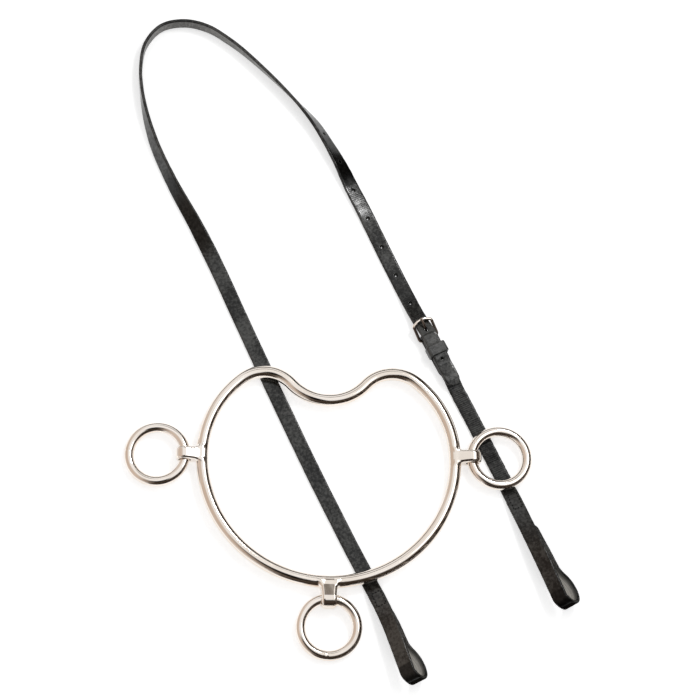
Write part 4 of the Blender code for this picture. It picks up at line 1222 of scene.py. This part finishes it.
def short_strap():
    """The strap that holds the buckle: it wraps the heel bar and has a slot for the tongue."""
    strap = SHORT_STRAP
    stations = strap.end_loop() + strap.leg(0, strap.heel)[:-1]
    heel = BUCKLE_PLAN + HEEL_HEIGHT * UP
    for angle in spaced(0, math.pi, CHAPE_TURN):
        facing = turned(angle, UP, -BUCKLE_RUN)
        mark = strap.length + angle * CHAPE_RADIUS
        place = heel + CHAPE_RADIUS * facing
        stations.append((place, BUCKLE_LEVEL, facing, 1.0, STRAP_THICKNESS, mark))
    for distance in spaced(0, CHAPE_LENGTH, STATION_STEP / 2)[1:]:
        place = BUCKLE_PLAN + distance * BUCKLE_RUN + HALF_THICK * UP
        share = tip_share(CHAPE_LENGTH - distance)
        mark = strap.length + math.pi * CHAPE_RADIUS + distance
        stations.append((place, BUCKLE_LEVEL, -UP, share, STRAP_THICKNESS, mark))
    obj = ribbon("short_strap", stations, SHORT_LEATHER, ["buckle_strap"],
                 holes=[turnback_hole()], back=LEATHER_BACK, ribbed=RIBBED)
    half = TONGUE_EYE_WIDTH / 2 + TONGUE_EYE_SIDE_GAP
    front = CHAPE_RADIUS + STRAP_THICKNESS
    outline = [Vector((front, -half, 0)), Vector((front, half, 0))]
    for angle in spaced(math.pi / 2, 3 * math.pi / 2, math.pi / 12):
        outline.append((half - SLOT_BEHIND_HEEL) * EAST + half * turned(angle, EAST, NORTH))
    points = []
    for z in (-HEEL_HEIGHT - GAP, CHAPE_TOP):
        points += [buckle_matrix() @ (p + z * UP) for p in outline]
    cut_out(obj, points, skin(2, len(outline), False))


def stitching(name, strap, low, high):
    """Box of thread stitches through both layers of a doubled end, half sunk in the face."""
    left, right = STITCH_INSET_LEFT - HALF_WIDTH, HALF_WIDTH - STITCH_INSET_RIGHT
    box = [Vector(spot) for spot in ((low, left), (high, left), (high, right), (low, right))]
    points, faces = [], []
    stitch_skin = skin(STITCH_STEPS + 1, STITCH_SIDES, False)
    along_stitch = spaced(STITCH_REST, 1 - STITCH_REST, (1 - 2 * STITCH_REST) / STITCH_STEPS)
    past_middle = spaced(-1, 1, 2 / STITCH_STEPS)
    for start, end in zip(box, box[1:] + box[:1]):
        count = max(2, round((end - start).length / STITCH_PITCH))
        for i in range(count):
            faces += [tuple(len(points) + k for k in face) for face in stitch_skin]
            path = []
            for part, t in zip(along_stitch, past_middle):
                spot = start.lerp(end, (i + part) / count)
                middle, _, across, normal = strap.frame(spot.x)
                lift = HALF_THICK - STITCH_RADIUS + STITCH_RISE * STITCH_RADIUS * (1 - t**4)
                path.append(middle + spot.y * across + lift * normal)
                if len(path) == 1:
                    face_normal = normal
            beside = (path[-1] - path[0]).cross(face_normal).normalized()
            for place, t in zip(path, past_middle):
                radius = STITCH_RADIUS * max(0.3, math.sqrt(1 - 0.9 * t**4))
                points += circle(place, radius, beside, face_normal, STITCH_SIDES)
    piece(name, points, faces, THREAD, "headstrap")


def strap_keeper():
    half_wide = HALF_WIDTH + KEEPER_PLAY + KEEPER_THICKNESS / 2
    low = KEEPER_LAYER - HALF_THICK - GAP - KEEPER_THICKNESS / 2
    high = KEEPER_LAYER + LAYER + HALF_THICK + GAP + KEEPER_THICKNESS / 2
    centre = BUCKLE_PLAN + KEEPER_FROM_HEEL * BUCKLE_RUN + (low + high) / 2 * UP
    half_high = (high - low) / 2
    corner = KEEPER_THICKNESS
    loop = []
    for side, top, first in ((1, -1, -90), (1, 1, 0), (-1, 1, 90), (-1, -1, 180)):
        spot = centre + side * (half_wide - corner) * BUCKLE_LEVEL + top * (half_high - corner) * UP
        for turn in spaced(first, first + 90, CORNER_STEP_DEG):
            facing = turned(math.radians(turn), BUCKLE_LEVEL, UP)
            loop.append((spot + corner * facing, facing))
    stations, mark = [], 0.0
    for (spot, facing), (after, next_facing) in zip(loop, loop[1:] + loop[:1]):
        gap = (after - spot).length
        for t in spaced(0, 1, BAR_STEP / gap)[:-1]:
            out = facing.lerp(next_facing, t).normalized()
            place = spot.lerp(after, t)
            stations.append((place, BUCKLE_RUN, out, 1.0, KEEPER_THICKNESS, mark + t * gap))
        mark += gap
    ribbon("keeper_band", stations, KEEPER_LEATHER, ["strap_keeper"], True,
           KEEPER_LENGTH)


def stud_patch(side, strap):
    stations = []
    for distance in spaced(PATCH_FROM_NECK, strap.patch_end, STATION_STEP):
        thickness = strap.patch_thickness(distance)
        depth = strap.patch_front(distance) + thickness / 2
        place, across, normal = strap.behind(distance, depth)
        stations.append((place, across, normal, 1.0, thickness, distance))
    ribbon(side + "_patch_layer", stations, FLESH, [side + "_stud_patch"],
           holes=[(STUD_FROM_NECK, STUD_POST_RADIUS + GAP)])


def hook_stud(side, strap):
    """Turned stud: plate behind the front layer, post through the patch, rounded head."""
    edge = STUD_EDGE
    profile = [
        (STUD_MIDDLE, PLATE_START),
        (STUD_PLATE_RADIUS - edge, PLATE_START),
        (STUD_PLATE_RADIUS, PLATE_START + edge),
        (STUD_PLATE_RADIUS, PLATE_END - edge),
        (STUD_PLATE_RADIUS - edge, PLATE_END),
        (STUD_POST_RADIUS + edge, PLATE_END),
        (STUD_POST_RADIUS, PLATE_END + edge),
        (STUD_POST_RADIUS, HEAD_START - edge),
        (STUD_POST_RADIUS + edge, HEAD_START),
        (STUD_HEAD_RADIUS - edge, HEAD_START),
        (STUD_HEAD_RADIUS, HEAD_START + edge),
    ]
    dome = STUD_HEAD_THICKNESS - 2 * edge
    for k in range(1, DOME_STEPS):
        angle = math.pi / 2 * k / DOME_STEPS
        wide = STUD_HEAD_RADIUS * math.cos(angle) ** DOME_POWER
        profile.append((wide, HEAD_START + 2 * edge + dome * math.sin(angle)))
    profile.append((STUD_MIDDLE, HEAD_END))
    middle, _, _, normal = strap.frame(STUD_FROM_NECK)
    first, second, axis = (-normal).to_track_quat("Z", "Y").to_matrix().col
    points = []
    for wide, high in profile:
        points += circle(middle + high * axis, wide, first, second, STUD_SIDES)
    faces = skin(len(profile), STUD_SIDES, False)
    piece(side + "_stud", points, faces, NICKEL, "headstrap", [side + "_hook_stud"])


mouth_ring()
for ring_name in EYES:
    loose_ring(ring_name)
long_strap()
short_strap()
strap_keeper()
buckle_frame()
buckle_tongue()
for side_name, side_strap in (("left", LONG_STRAP), ("right", SHORT_STRAP)):
    stud_patch(side_name, side_strap)
    hook_stud(side_name, side_strap)
stitching("left_end_stitches", LONG_STRAP, 25.0 * MM, 33.5 * MM)
stitching("right_end_stitches", SHORT_STRAP, 41.5 * MM, 51.0 * MM)


# Floor, light and camera, in metres

FLOOR_HALF = 2.5
FLOOR_DROP = 0.05 * MM
FLOOR_GLOW = 0.5
SKY_LIGHT, SKY_SEEN = 0.62, 1.0
CARD_DISTANCE = 1.6
CARD_STEPS = 32
CARD_LIFT = 0.02 * MM
LAMP_DISTANCE = 1.2


def stage_floor():
    mesh = bpy.data.meshes.new("floor")
    half = FLOOR_HALF
    corners = [(-half, -half), (half, -half), (half, half), (-half, half)]
    mesh.from_pydata([(x, y, -FLOOR_DROP) for x, y in corners], [], [(0, 1, 2, 3)])
    n = Nodes(bpy.data.materials.new("white_floor"))
    n.shade(
        Base_Color=(0.82, 0.82, 0.82, 1),
        Roughness=0.9,
        Specular_IOR_Level=0.0,
        Emission_Color=(1, 1, 1, 1),
        Emission_Strength=n.times(n.seen(), FLOOR_GLOW),
    )
    mesh.materials.append(n.owner)
    obj = link("floor", mesh)


def world():
    n = Nodes(bpy.data.worlds.new("studio"))
    back = n.tree.nodes["Background"]
    n.put(back.inputs[0], (1, 1, 1, 1))
    level = n.add("MapRange", {0: n.seen(), 3: SKY_LIGHT, 4: SKY_SEEN})
    n.put(back.inputs[1], level.outputs[0])
    bpy.context.scene.world = n.owner


def sky_way(azimuth, elevation):
    level = turned(math.radians(azimuth), EAST, NORTH)
    return turned(math.radians(elevation), level, UP)


def sky(azimuth, elevation, half_wide, half_tall):
    """Where a card's point goes on a sphere round the set, for u and w from -1 to 1."""

    def place(u, w):
        rise = min(89.0, elevation + half_tall * w)
        return CARD_DISTANCE * sky_way(azimuth + half_wide * u, rise)

    return place


def ground(azimuth, distance, half_wide, half_deep):
    """The same for a card that lies on the floor beside the mouth ring."""

    def place(u, w):
        way = turned(math.radians(azimuth + half_wide * u), EAST, NORTH)
        return ORIGIN + (distance + half_deep * w) * way + CARD_LIFT * UP

    return place


def card(name, place, colour, core):
    """Soft-edged card that only reflections show, like a photographer's flag; the one on the floor
    is painted shadow.

    core is the share of its half width that is solid.
    """
    row = CARD_STEPS + 1
    grid = [(u, w) for u in spaced(-1, 1, 2 / CARD_STEPS) for w in spaced(-1, 1, 2 / CARD_STEPS)]
    faces = []
    for i in range(CARD_STEPS):
        for k in range(CARD_STEPS):
            here = i * row + k
            faces.append((here, here + 1, here + row + 1, here + row))
    mesh = bpy.data.meshes.new(name)
    mesh.from_pydata([place(u, w) for u, w in grid], [], faces)
    add_map(mesh, "card", [grid[corner] for face in faces for corner in face])
    n = Nodes(bpy.data.materials.new(name))
    n.tree.nodes.remove(n.shader)
    spot = n.add("UVMap", uv_map="card").outputs[0]
    away = n.add("VectorMath", {0: spot}, operation="LENGTH").outputs["Value"]
    glow = n.add("Emission", {"Color": opaque(colour)}).outputs[0]
    clear = n.add("BsdfTransparent").outputs[0]
    mixed = n.add("MixShader", {0: n.ramp(away, core, 1.0), 1: glow, 2: clear}).outputs[0]
    n.put(n.tree.nodes["Material Output"].inputs[0], mixed)
    mesh.materials.append(n.owner)
    obj = link(name, mesh)
    obj.visible_camera = False
    obj.visible_diffuse = False
    obj.visible_shadow = False


def lamp(name, azimuth, elevation, half_angle, radiance):
    """Round soft lamp, given by where it stands in the sky, its half width and its radiance."""
    way = sky_way(azimuth, elevation)
    radius = LAMP_DISTANCE * math.tan(math.radians(half_angle))
    data = bpy.data.lights.new(name, "AREA")
    data.shape = "DISK"
    data.size = 2 * radius
    data.energy = radiance * math.pi * math.pi * radius**2
    obj = link(name, data)
    obj.location = LAMP_DISTANCE * way
    obj.rotation_euler = way.to_track_quat("Z", "Y").to_euler()


# The camera stands where the photo's did: its place from the mouth ring's middle, the way that it
# leans and its lens follow from the rings' and the mouth ring's outlines in the photo.
CAMERA_PLACE = Vector((-0.100346, -0.425069, 1.435008))
CAMERA_LEAN_DEG = (4.5181, 18.9939)
CAMERA_ROLL_DEG = 1.09992
CAMERA_LENS = 132.282
CAMERA_SENSOR = 36.0


def camera():
    lean_x, lean_y = [math.radians(lean) for lean in CAMERA_LEAN_DEG]
    back = Vector((-math.tan(lean_x), -math.tan(lean_y), 1)).normalized()
    right = (EAST - back.x * back).normalized()
    up = back.cross(right)
    roll = math.radians(CAMERA_ROLL_DEG)
    axes = Matrix((turned(roll, right, up), turned(roll, up, -right), back))
    data = bpy.data.cameras.new("photo_camera")
    data.sensor_width = CAMERA_SENSOR
    data.lens = CAMERA_LENS
    data.clip_start, data.clip_end = 0.01, 20.0
    obj = link("photo_camera", data)
    obj.matrix_world = Matrix.Translation(ORIGIN + CAMERA_PLACE) @ axes.transposed().to_4x4()
    bpy.context.scene.camera = obj


stage_floor()
world()
card("east_flag", sky(-12.0, 5.0, 104.0, 52.0), (0.03, 0.022, 0.017), 0.78)
card("east_haze", sky(-10.0, 18.0, 75.0, 46.0), (0.36, 0.31, 0.27), 0.3)
card("south_flag", sky(245.0, 50.0, 46.0, 37.0), (0.004, 0.003, 0.002), 0.68)
card("southeast_flag", sky(290.0, 17.0, 56.0, 54.0), (0.06, 0.045, 0.035), 0.75)
card("west_card", sky(182.0, 32.0, 80.0, 46.0), (0.66, 0.55, 0.47), 0.35)
card("north_card", sky(92.0, 50.0, 30.0, 9.0), (0.2, 0.175, 0.15), 0.2)
card("north_flag", sky(92.0, 5.0, 60.0, 17.0), (0.05, 0.04, 0.032), 0.7)
# Dark card on the floor south-east of the mouth ring, seen only in reflections: painted shadow, the
# ring's shadow on the floor as the metal mirrors it
card("floor_shadow_card", ground(-48.0, 0.165, 44.0, 0.078), (0.03, 0.022, 0.017), 0.8)
lamp("softbox", 12.0, 61.0, 15.0, 1.4)
lamp("key", 52.0, 59.0, 4.5, 26.0)
camera()
bpy.context.scene.view_settings.view_transform = "Standard"
